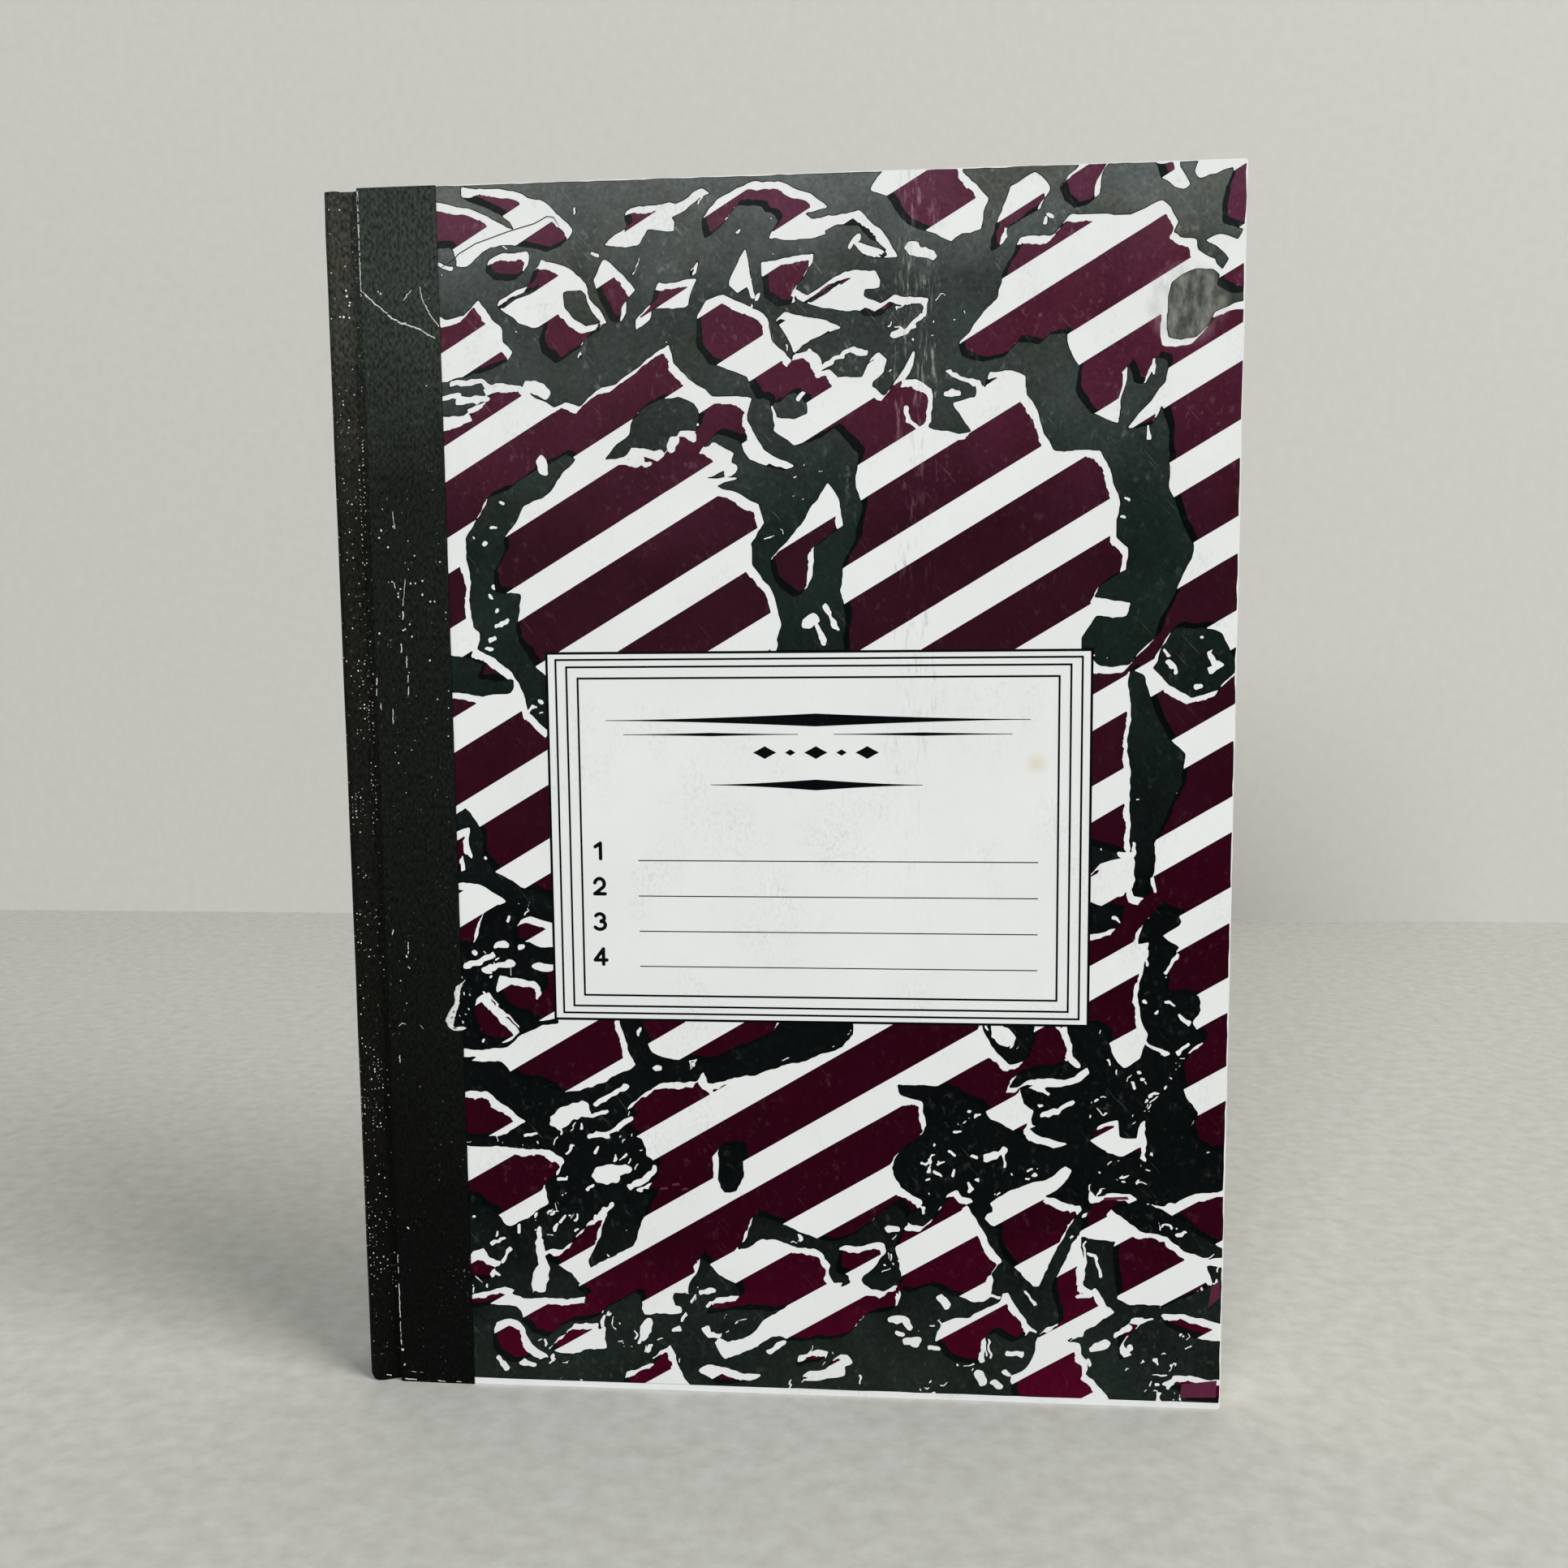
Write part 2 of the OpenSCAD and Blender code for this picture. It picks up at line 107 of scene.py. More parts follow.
# Marbling drawn on the printed field: points are mm [from the strip, from the tail].
# Blots are dark, openings are cut from them, and inner blots lie in the openings.
BLOTS = [
    # head mass, from the strip to the neck on the right
    [(-3, 252), (161, 252), (161, 237), (157, 235.2), (153.6, 228), (151.9, 230.5), (150, 231.4),
     (148.9, 232.2), (148.9, 234), (145, 234.6), (143.9, 235.2), (145.2, 237.3), (143.8, 239.8),
     (141.9, 241.7), (136, 239), (125, 239.2), (121, 235.6), (115, 235), (111.5, 228), (111, 224),
     (107, 220), (103.3, 215.5), (104, 213), (108, 212), (112, 213.3), (115, 215.7), (119, 215.3),
     (121, 217.3), (124, 217), (124.5, 214), (126.8, 210.5), (126, 206), (129, 202), (134.3, 199.8),
     (135.8, 211.8), (137.3, 207.5), (139.5, 207), (141.5, 212), (144, 211), (142.5, 207),
     (136.3, 198.6), (141, 199.3), (142.6, 203), (144, 199.5), (144.3, 187), (147.3, 180), (149.3, 176),
     (146, 168), (142, 158.5), (137, 152.5), (131, 153), (127.5, 156), (127.3, 158.5), (130.3, 162.5),
     (136.2, 162.2), (137.3, 165), (130, 166.3), (131, 168.5), (136.3, 171.5), (136.6, 175.5),
     (134, 177.5), (134.5, 184), (133, 191), (130.5, 194.5), (121.5, 194.8), (118.5, 202),
     (116.8, 205.3), (116.4, 209.2), (113, 210.5), (109.2, 209.8), (108.3, 206), (107, 208.4),
     (106.6, 205.3), (102.5, 204), (105.8, 198.6), (103.5, 198.2), (97.4, 199.8), (98, 203),
     (98, 207.1), (95, 208.9), (92.4, 208.3), (93.8, 210.9), (94.9, 213.7), (94.7, 214.4), (93, 212),
     (91.2, 209), (88.4, 206), (86.4, 207.8), (86.4, 208.8), (88.8, 210.4), (89.1, 212.8), (87.6, 214),
     (85.6, 212.5), (84.4, 210), (80, 209.7), (78.5, 211.2), (76.8, 211), (75, 213), (74, 214.8),
     (70.7, 214.6), (71, 208.4), (68, 210), (66.5, 205.8), (62, 206.5), (55, 206.3), (51.5, 208.5),
     (49.9, 210), (46.8, 213.4), (46, 216.6), (43.6, 215.3), (38, 211.2), (35.5, 209.2), (32.1, 208.4),
     (29.3, 206.2), (28, 205.3), (25.5, 205.9), (23, 204.7), (20, 206.3), (18.5, 207), (16, 209.5),
     (8, 209), (9, 206.5), (5, 205), (5, 203), (-3, 201.5)],
    # arc beside the strip
    [(25, 196), (19, 193), (14, 190), (9, 187.3), (5.5, 182), (3.6, 179), (4.6, 170), (4, 165),
     (4.8, 161.5), (6.2, 160.3), (5.3, 157), (8, 155.3), (13, 151.5), (15.2, 146), (16, 143.5),
     (20.5, 139.5), (20.5, 150.5), (17.5, 152.5), (13.5, 161), (15, 168), (9.5, 168.5), (9.8, 172.5),
     (12, 176.5), (11.5, 179), (14.5, 182), (16, 185.5), (20, 187.3), (27, 194.5)],
    [(-3, 155.5), (4, 155), (6.5, 154), (5.5, 151), (13, 150.3), (12, 147.8), (5, 147.3), (-3, 148.5)],
    # blot over the label's middle, with its shoulder to the left
    [(32.6, 194.6), (33.6, 195.9), (35.5, 198.1), (38, 199.6), (38.9, 202.4), (41.1, 204.9),
     (44.3, 206), (48, 206.6), (51.2, 205.4), (52.5, 202.8), (51.6, 201), (51.4, 199.6), (50.2, 199.9),
     (48, 199.9), (47.4, 198.4), (46, 196.6), (44.6, 195.3), (41.5, 196.6), (38.6, 196.8), (36.5, 195)],
    [(52.5, 196.5), (55.5, 199), (60, 197.5), (62, 194), (66, 193), (71, 191), (66, 190), (64, 189.5),
     (57, 190.5), (53, 190.2), (58, 192.3), (59, 195), (56, 197)],
    [(61.5, 202), (63, 206.5), (66.5, 206), (66.8, 199.8), (70, 198), (71, 196.8), (76, 198), (79, 200),
     (82, 197), (84.3, 194.5), (83.2, 190), (84.5, 184), (83, 178), (80.5, 173), (80, 168), (81, 163),
     (80.6, 154), (66.5, 154), (68, 161), (66.5, 168), (62.5, 173.5), (62.3, 177.5), (64.5, 182),
     (64, 185.5), (55, 189), (66, 191.5), (71, 192.5), (65, 196)],
    # right side, from the head down past the label
    [(143.7, 226.2), (145, 227.2), (148.1, 228.6), (151.9, 228.6), (153.2, 227.4), (152.4, 225.2),
     (155, 223.6), (161, 224.2), (161, 222.4), (157.8, 222.3), (152.6, 220.6), (151.3, 218.2),
     (148.8, 215.7), (145.9, 215.1), (143.7, 215.7), (143.2, 219.6), (143.3, 224)],
    [(143, 156), (145.5, 160), (151, 160.3), (155, 159), (158, 152), (154.5, 147.5), (149, 146.5),
     (145, 148.5), (141.8, 152)],
    [(137, 152), (140, 150.5), (141, 147), (143, 142), (146, 137.5), (148.3, 135), (147.8, 129),
     (144.3, 121), (142.5, 117), (143, 112), (141, 106), (138.6, 106.5), (137.4, 118), (137.3, 130),
     (137.2, 144)],
    [(129, 117), (133, 116), (137, 115.3), (136, 114.2), (132, 113), (130, 110.5), (129, 112)],
    [(129, 105.5), (133, 104.3), (136, 103.5), (135, 100), (129, 98.5)],
    [(140.5, 101), (143.5, 104), (147.8, 102.8), (148.3, 101), (144.5, 98.7), (148, 96), (147, 94.6),
     (144.8, 91), (144.8, 87), (151.5, 86.5), (152, 83), (150.8, 80.5), (153.3, 77), (150, 74.5),
     (148.2, 71), (149.5, 66), (152, 62), (150.5, 59), (151, 56), (154, 54), (161, 55), (161, 46),
     (152, 45), (148, 42.5), (144, 44), (142, 45.5), (140, 43.5), (137, 44.5), (132, 44), (127, 48),
     (128, 43), (131, 41), (127, 38.5), (124, 32), (121, 25), (119.5, 24), (117, 26), (113, 29.5),
     (111.3, 31.5), (109.8, 34.3), (108.3, 36.7), (107, 39.2), (105.6, 41.2), (107.2, 41.8),
     (106.4, 42.8), (104.8, 43), (103.6, 44.6), (101.8, 43.6), (100.2, 41), (98.6, 38.2), (96, 36),
     (94.4, 36.6), (93.2, 38), (93.6, 39.2), (95.9, 40.6), (96, 42), (94.5, 43.2), (91.8, 44.7),
     (90.3, 47), (90, 49), (90.7, 51.3), (92.5, 53.6), (96, 56), (97, 58), (96, 63), (91.5, 64.5),
     (91.2, 66.8), (100, 66.8), (103, 65), (109, 62), (110.5, 59.5), (114, 58), (119, 54), (122, 53.3),
     (126, 54.5), (130, 56.5), (131, 58), (128, 62), (121, 64.5), (118.5, 66.5), (114, 66.5),
     (116, 69.5), (120, 70.5), (124, 71.3), (127, 73), (125.5, 80.5), (131, 80), (133.5, 78),
     (135, 73.5), (137, 70.8), (140, 73), (141.5, 78), (140, 81), (139.6, 88), (141, 93), (142, 97),
     (139.3, 96.8), (139.5, 98.5)],
    [(108.5, 80.5), (109, 77.5), (111, 74.5), (114.5, 71.5), (117.5, 72), (118, 75), (119.5, 80.5)],
    # left side under the arc
    [(-3, 121), (2, 124), (3.5, 122.5), (6, 118), (5.5, 114), (8, 110.5), (13, 107.3), (20.5, 105.5),
     (20.5, 78.5), (17, 78), (12, 75.8), (9, 73.3), (4, 72.5), (-3, 73)],
    # mass under the label on the left
    [(-3, 71), (4, 70), (8, 70), (10.5, 67.5), (20, 63.7), (24, 64), (33, 67.8), (36.6, 70), (34.5, 75),
     (33.5, 80.5), (82, 80.5), (82, 77), (80, 74.5), (71, 71), (62, 68.5), (52, 66), (51, 68.5),
     (50, 66.5), (42, 66.3), (36, 62.5), (34.5, 60.5), (35.5, 59), (33.5, 56), (37.5, 54), (38.5, 50.5),
     (40.3, 49), (39.5, 44.5), (36, 42.8), (40, 42), (37.5, 36), (35.5, 30.3), (26, 25.3), (22.5, 21),
     (25, 19), (28.5, 16.5), (33, 19), (35, 20.4), (36.6, 19.8), (37.3, 15.6), (43, 15.4), (45.4, 16),
     (45.2, 17.2), (43.9, 17.7), (43.6, 19.2), (44.2, 20.2), (46.7, 20.4), (47.2, 22), (48.5, 24.8),
     (48.9, 26.5), (49.6, 29), (52.5, 25.5), (57.5, 23), (58.5, 20), (52.5, 19.7), (51, 16), (57, 17),
     (64, 17), (71, 19), (78, 22), (80, 24), (82, 24), (92, 23), (93.5, 22.4), (95, 23), (97.5, 24),
     (99.5, 23.3), (102, 21.9), (104.2, 21.2), (107, 20), (109, 20.2), (110.4, 21.5), (111, 24.5),
     (111, 26.5), (111.8, 28), (113, 29.3), (118, 18), (122.3, 15.2), (120.6, 13.5), (119.6, 11.5),
     (119.3, 9), (118.7, 6.8), (117, 5.4), (115.2, 4.6), (115, 2.5), (115.5, 0), (115, -3), (-3, -3)],
    [(53.8, 52.3), (54.5, 53.2), (58.4, 53.2), (59, 52), (59, 46), (58.2, 44.3), (57.4, 43.2),
     (54.6, 42.8), (53.8, 44)],
    [(57, 30.2), (59, 32.8), (60.4, 35.5), (61, 37.5), (63, 37.7), (66, 36.5), (70, 34.8), (74.5, 33),
     (77.5, 32.7), (80, 33.3), (83, 34.7), (86, 37), (88.5, 40), (91, 41.5), (93, 39.5), (93.5, 37),
     (92.5, 35), (91, 33), (90.6, 31.5), (91.4, 28.5), (92, 25.2), (91.5, 23), (89, 22.6), (85.5, 23),
     (83.7, 24), (83.8, 25.3), (86, 27), (87, 29), (88.6, 30.8), (88.4, 32.6), (86.5, 32.4), (83, 31.8),
     (80, 31.7), (79, 31.4), (78.8, 28.5), (78.7, 26), (81, 25.2), (81, 24), (77.6, 23.8), (77, 26),
     (77.4, 27.3), (76, 29), (74.8, 30.4), (73.5, 31), (70, 31.3), (66, 32.5), (62.5, 32.7),
     (60, 31.4)],
    # mass at the fore-edge's lower corner
    [(134.5, 41.5), (137, 43), (141, 43), (146, 41.3), (150, 38.5), (154, 36.3), (161, 35.5), (161, 31),
     (154.5, 31), (150, 32.5), (146, 35.8), (141, 36.3), (138, 38.8)],
    [(146, 42), (150, 45), (161, 46), (161, 55), (140, 50), (131, 45)],
    [(129, 35), (136, 34), (135.5, 30), (136.5, 25), (139, 21), (146, 20.5), (153, 24), (156, 26),
     (154.5, 30), (161, 28), (161, -3), (136, -3), (134.8, 0.8), (132.8, 3), (130.4, 5.4), (131, 6.2),
     (130.8, 8), (129.6, 9.6), (129.2, 12), (125.2, 12.9), (129.6, 13.5), (130, 15), (133, 16.7),
     (136.3, 18.9), (134.4, 20.7), (133.5, 22.4), (132, 24.6), (131.2, 23.8), (129.6, 25)],
    [(122, 43.7), (125, 46.5), (127.5, 49.5), (131, 46), (130, 42.5), (129, 41.5), (126, 42.7)],
    [(116.5, 66.5), (116.8, 63), (119, 61.5), (118, 58.5), (120.5, 56.5), (126, 54.8), (131, 56.8),
     (131, 62), (129, 66)],
    [(66.9, 204.6), (68.9, 206.6), (71.2, 207.3), (73.3, 205.2), (73.4, 202.8), (70.6, 201.9),
     (67.3, 202.2)],
    [(109, 20.2), (110.4, 21.5), (111, 24.5), (111, 26.5), (111.8, 28), (113, 29.5), (115.3, 28.6),
     (118, 25.3), (119.5, 23.9), (120.4, 24), (121.7, 27), (123, 30.5), (124.9, 34.1), (126.5, 37.2),
     (128, 39.6), (129, 41), (129.4, 38), (128.6, 35.2), (126, 31), (124.3, 27), (123.2, 24.5),
     (123.4, 22), (124.2, 19.5), (125, 16.3), (122.3, 15), (120.5, 13.6), (114, 16)],
]
INNER_BLOTS = [
    [(25, 227.4), (28.6, 227.8), (29.6, 226.6), (30, 224.6), (31.4, 222.6), (32.6, 221.2),
     (29.6, 220.6), (27, 222.2), (25.2, 224.6)],
    [(12.6, 225.1), (19.4, 228.4), (19.6, 227.9), (13.2, 224.6)],
    [(73.6, 224.2), (80.8, 228), (81, 227.5), (74.2, 223.9)],
    [(77, 237.5), (80, 238.8), (84, 238.5), (86, 236.5), (90, 233.5), (84.5, 235.3), (80, 235.5)],
    [(58.5, 241), (60, 243.2), (65, 243), (67, 240.5), (63, 239)],
]
OPENINGS = [
    [(-3, 246.3), (0, 245.6), (7.4, 243.7), (15.5, 239.3), (14.6, 241.3), (12.9, 242.6), (9.3, 244.6),
     (5.1, 246.2), (5, 248), (12.4, 247.4), (17.4, 246.4), (21.8, 244.3), (23.4, 243.2), (27.4, 239.3),
     (26.6, 238.4), (24.6, 236), (22, 235.2), (18, 236.2), (14.6, 236.6), (10.5, 236.2), (7.7, 234.5),
     (5.8, 233), (3.9, 233), (3.6, 235.6), (2.6, 236.8), (-3, 236.6)],
    [(9.8, 232), (10.5, 234), (13, 234.9), (18.1, 235), (18.3, 233), (17.2, 231.4), (14.6, 230),
     (11.4, 230.6)],
    [(11.7, 225.3), (12.1, 226.2), (18.6, 229), (20.8, 233.8), (25.5, 232.5), (28.6, 230.4),
     (29.9, 228.4), (30.3, 225.8), (32.2, 224), (33.9, 221.4), (32.8, 221), (32.2, 219.6), (30, 218.6),
     (27.6, 216.2), (25.2, 214.2), (23, 213.4), (20.6, 215.6), (20.3, 218.4), (21.2, 220.6),
     (18.6, 220.7), (16.1, 221.5), (12.9, 224.4)],
    [(31.4, 229.3), (33.6, 233.3), (36, 231.2), (40, 227.5), (38.8, 226.5), (37.9, 225.3), (38, 222.8),
     (36.8, 221.3), (34.7, 222), (33, 224.8), (32, 227.5)],
    [(39.7, 219.4), (40, 221.3), (43, 224.9), (44.3, 228.7), (48, 228.6), (52.3, 229.1), (50.5, 225.9),
     (49.9, 224.2), (48, 223.5), (43, 223.4), (42.4, 220.9)],
    [(33.8, 236.2), (35.5, 237.8), (38.3, 239.4), (37.8, 240.9), (37.9, 242.3), (40.5, 243.5),
     (48, 243.8), (53.3, 246.5), (55, 245.3), (46.8, 241.1), (47.8, 240.3), (47.8, 238.6),
     (42.4, 238.8), (40.5, 236.1), (37.7, 235.5)],
    [(53.4, 240.5), (56, 244), (60, 246), (64.5, 247.4), (70, 246.5), (74.5, 244.8), (78, 242),
     (73.5, 241.2), (75, 240), (84, 241.3), (88, 238), (91.5, 232.5), (89, 232.5), (85, 233), (82, 236),
     (78, 237), (70, 236), (66.3, 236.6), (68.5, 240), (66.5, 242), (62, 242.3), (58.5, 240.5),
     (55, 237.5), (53.6, 237)],
    [(58.2, 228), (59.4, 231.2), (61.7, 234.5), (62.9, 230), (63.7, 225.1), (63, 225.1), (62.4, 227.3),
     (60.3, 226.4)],
    [(64.6, 232.2), (75.1, 233.5), (74.8, 231.8), (72.8, 229), (71.5, 227), (71.3, 224), (68, 223.7),
     (65.3, 225.3), (65, 228)],
    [(52.3, 222), (54, 225), (57.2, 226.4), (61, 224.6), (65, 222), (67, 216.8), (70.6, 213), (71, 208),
     (68, 205), (64, 206), (62, 210), (54, 213), (52, 216)],
    [(67.4, 221), (69.3, 222.2), (80.6, 219.4), (75, 217), (71, 214.8), (69.6, 217.8)],
    [(71.5, 226.8), (71.8, 224.7), (73.4, 223.8), (76.9, 222.6), (83.8, 222.2), (85, 221.2),
     (87.4, 221), (88.2, 221.3), (90.2, 223.5), (96.2, 223.2), (96.4, 221), (97, 221), (97.4, 224.2),
     (95, 224.5), (90.9, 225.1), (88.1, 223.6), (85.1, 225.1), (85.2, 226.4), (87.9, 226.7),
     (88.1, 228.1), (87.2, 230), (81.3, 229.8), (78.1, 228), (73.8, 225.3), (72.3, 226.6)],
    [(-3, 224), (1, 222.5), (5, 223), (8, 226.4), (9.5, 223.5), (12.2, 221), (12.8, 218), (14.6, 216.2),
     (13, 214), (4, 211.3), (-3, 210)],
    [(86.2, 245.3), (91.5, 253), (104, 253), (103.8, 247.8), (106.8, 244.7), (108.8, 242.5),
     (107.5, 237.2), (103.5, 236.5), (101.5, 234.8), (97, 237), (93.5, 238.5), (91, 241.5),
     (89.5, 244)],
    [(109.2, 233.2), (109.9, 236), (110.8, 239), (113.1, 244.7), (117.8, 247.3), (119.4, 246),
     (120.9, 244), (119.6, 242.6), (118.8, 240.7), (112.5, 237.4), (111.7, 234.6)],
    [(122.9, 244), (124, 246.4), (127.5, 250), (132.5, 250), (130.6, 246.5), (130.1, 243.3),
     (128, 241.3), (125.6, 240.4), (123.7, 242)],
    [(140.5, 249), (141.4, 245.6), (143.8, 244), (145.9, 243.2), (146.9, 244.5), (145.3, 248),
     (145.3, 250), (141, 250)],
    [(142, 234.8), (144.5, 235.3), (145.5, 233.8), (148.5, 234.2), (148, 232.6), (144.5, 232.5)],
    [(155.5, 250), (161, 250), (161, 236), (157, 235.4), (153.5, 236.8), (153.2, 240), (154, 243.5),
     (155.2, 246)],
    [(150.2, 234), (153.1, 234.9), (155, 234), (161, 231), (161, 227), (156.3, 227.6), (155.4, 228.4),
     (154.4, 230.3), (152.6, 232.6)],
    [(52.6, 232.6), (50.9, 230.8), (50.9, 229.3), (51.9, 230)],
    [(147.7, 246.5), (149.4, 250), (155.5, 250), (155, 247), (151.9, 246.3), (148.4, 245.4)],
    # between the arc and the label, and round the strip's middle
    [(-3, 108.3), (4, 108), (7, 106.5), (9.8, 104.5), (7, 103), (5, 102), (3, 96), (1, 95), (-3, 95)],
    [(11, 98.3), (13, 100.5), (15, 101.4), (20.5, 99.8), (20.5, 94.8), (17, 94.8), (14.5, 96.3),
     (11.5, 96)],
    [(7, 85.5), (8, 88.8), (12, 88), (15.5, 87.2), (16.8, 84.5), (17.5, 88), (14.8, 90.8), (16.5, 91.5),
     (21, 90.8), (21, 79.5), (16, 79), (12, 80.5), (9, 82.5)],
    [(2, 80), (3, 83.2), (5, 85), (8.3, 81), (11.8, 76.5), (10, 75), (6, 74), (3, 75.5)],
    [(-3, 119), (0.5, 119), (2.7, 120), (2.3, 117), (3.4, 114), (1, 115), (1.5, 111), (-3, 110)],
    [(70, 178), (66, 174.5), (66, 172), (68, 168.5), (71, 167), (73.5, 168.5), (74.6, 171),
     (74.6, 176.8), (77, 178.5), (80.5, 181), (79.5, 185), (77.5, 189.5), (75.5, 186)],
    # under the label
    [(36, 81), (38, 76), (40.5, 72.5), (44, 71), (52, 70.5), (57, 73.5), (62, 75.5), (66, 78),
     (68, 81)],
    [(110.5, 77), (112, 75.5), (114.5, 75), (115.2, 77.5), (114, 79), (110.5, 79.8)],
    [(-3, 62.5), (1, 63.5), (5, 64), (8, 61), (12.8, 57.5), (9, 54.2), (-3, 53.5)],
    [(-3, 52), (0, 51.8), (12, 51.3), (16, 51.5), (18, 51), (20, 49.5), (21, 48.3), (20.3, 47.5),
     (19.8, 46), (18, 44.6), (17, 43.2), (16.9, 41), (17, 39.6), (15, 38), (12.5, 36), (11, 35.5),
     (9, 34.3), (8, 34.5), (7, 36.3), (4, 38.6), (1.5, 40.6), (-3, 42.5)],
    [(15.6, 28.6), (17, 29.2), (20, 29.3), (22.3, 31.2), (24.4, 34), (26, 35.4), (27.6, 36.2),
     (29.8, 37.8), (29, 35.3), (28, 32.4), (27.2, 30.4), (26.7, 29.7), (25.9, 27.2), (26, 25), (24, 21),
     (22, 24), (19.6, 25.6), (18, 26.2), (16.2, 27.2)],
    [(-3, 27.5), (-0.6, 27.6), (0.4, 28.5), (1.6, 28.4), (2.6, 29), (3.2, 27.8), (4.2, 27), (6.8, 26.2),
     (6.3, 25.4), (5.2, 25.2), (5.4, 23.6), (5, 22.4), (2.5, 22.1), (-3, 22.3)],
    [(-3, 17.6), (0, 19), (3, 19.3), (6, 20), (7.6, 20.6), (9.2, 20.3), (8.6, 19.5), (10.2, 18.7),
     (12, 18.1), (18, 18.2), (25, 18.6), (27.2, 17.9), (28.7, 17), (28.3, 15), (21, 13.6), (18.5, 12),
     (16.8, 10), (14, 10.6), (12, 12.2), (10.9, 13), (10.6, 15), (9.6, 16.5), (5, 16.6), (2, 16.2),
     (-3, 16)],
    [(4.2, 6.5), (4.4, 9.5), (5.4, 12.4), (7, 13.3), (9.5, 13.3), (11, 12), (12.1, 9.5), (14, 7),
     (16.8, 5), (14.5, 4.6), (12.5, 5.5), (10, 4), (8, 3.8), (6, 5)],
    [(16, 7), (18.2, 8.6), (20, 10.8), (22, 12.9), (24.2, 13.4), (27.2, 13.2), (27.2, 11.9),
     (28.8, 12.7), (28.8, 7.6), (25, 7.4), (22, 6.6), (19, 6.4)],
    [(32.5, -1), (33.4, 2.3), (35.2, 2.8), (37.6, 4.3), (39.5, 4.4), (39.4, 6), (40.6, 7.3), (43, 8.9),
     (43.8, 7.2), (44.3, 5), (45.5, 2), (47.5, -1)],
    [(48.7, 3.6), (51, 5), (58, 3.2), (63, 3), (61, 1.6), (58, 1), (53, 0.5)],
    [(52.3, 10), (54, 9.6), (56, 10), (58.5, 10.5), (60.5, 12), (62.5, 14.6), (66, 17), (71, 19.3),
     (75, 20.6), (75.2, 21.2), (76.8, 21.4), (77, 22.9), (79.5, 22.8), (81.2, 23.4), (81.4, 24.9),
     (81, 25.6), (79, 26), (79, 31), (80, 31.8), (82.5, 31.9), (86.5, 31.5), (88.2, 32.6), (88.6, 30.8),
     (86.9, 29), (86, 27.2), (84.3, 25.6), (83.5, 24.4), (84.4, 23), (88, 22.2), (90.6, 23.4),
     (91.4, 23.3), (91.8, 21.2), (91, 19.5), (89, 18), (84, 17.2), (83.8, 16.2), (82.8, 15), (82, 13.5),
     (80, 12), (76, 11.4), (72, 11), (68, 10.8), (66, 11.6), (64, 11), (62.3, 9.8), (61, 8.8),
     (59, 7.8), (57, 6.8), (54.7, 6), (54, 7.2)],
    [(69.8, 4.8), (70.2, 7), (72, 7.5), (74, 8.7), (76.3, 8.5), (75.6, 7), (73, 5.8)],
    [(71.2, 1.8), (71, 2.6), (72, 3.7), (76, 4.5), (77.5, 6.3), (79.5, 7.9), (81.3, 7.1), (81.6, 6),
     (80.1, 5), (80, 3.4), (77, 2.4), (74, 1.6)],
    [(99, 12), (100.5, 15.6), (103, 16.7), (106, 16.6), (108, 18), (111, 19.4), (112.5, 20.6),
     (112.9, 22.5), (113.9, 22.8), (114.6, 21.5), (116, 20), (117, 18), (119, 15.2), (120.5, 13.6),
     (118.4, 14.6), (117.8, 13.4), (115.5, 12.2), (113.5, 12.6), (111.5, 13.6), (109.8, 13.2),
     (109.6, 9), (109.8, 7), (106, 6.8), (102.5, 7.4), (100.5, 9)],
    [(109.2, 38.4), (109.6, 39.6), (110.8, 40), (110.3, 42), (114, 44.6), (118, 46.2), (121.5, 47.2),
     (124, 48.8), (126, 50.2), (127.3, 49.2), (125.4, 46.8), (123.6, 44.8), (121.2, 43.7), (124, 42.6),
     (127.4, 41.4), (128.6, 42), (129, 41), (128, 39.6), (126.5, 37.2), (124.9, 34.1), (123, 30.5),
     (121.7, 27), (120.4, 24), (119.5, 23.9), (118, 25.3), (115.3, 28.6), (113.3, 30.6), (112.4, 34),
     (112, 36.8), (110.6, 36.8)],
    [(116, 66.5), (118, 68), (126, 68.5), (129.5, 71), (130, 69.5), (128, 68), (125, 67), (119, 66)],
    [(130, 56), (133, 59), (136, 60), (136.3, 56.5), (140, 56), (141, 59.5), (142, 60.5), (142, 57.5),
     (142, 50.8), (140, 52.5), (134, 53), (131, 55)],
    [(131, 43), (134, 44.8), (139, 44.3), (140.5, 43), (137, 42), (132, 41.5)],
    [(145.5, 43.5), (148.5, 41.5), (155, 45), (161, 45.5), (161, 32), (156, 34.5), (152, 37),
     (150, 41)],
    [(129.5, 36.5), (135, 40.5), (140, 36), (146, 34.5), (149.5, 31.5), (155, 30.5), (154.5, 25.5),
     (147, 21.5), (139, 20.5), (136.5, 22), (136, 34), (131, 35)],
    [(137, 14), (140, 18), (142, 18), (138, 12), (139.5, 9.5), (137, 9)],
    [(145, 18.8), (151, 19), (156, 17.5), (161, 16), (161, 13), (152, 14), (147, 16)],
    [(145.5, 3.5), (148.5, 5.6), (161, 5), (161, 0.5), (151, 0.5), (149, 2.8)],
]

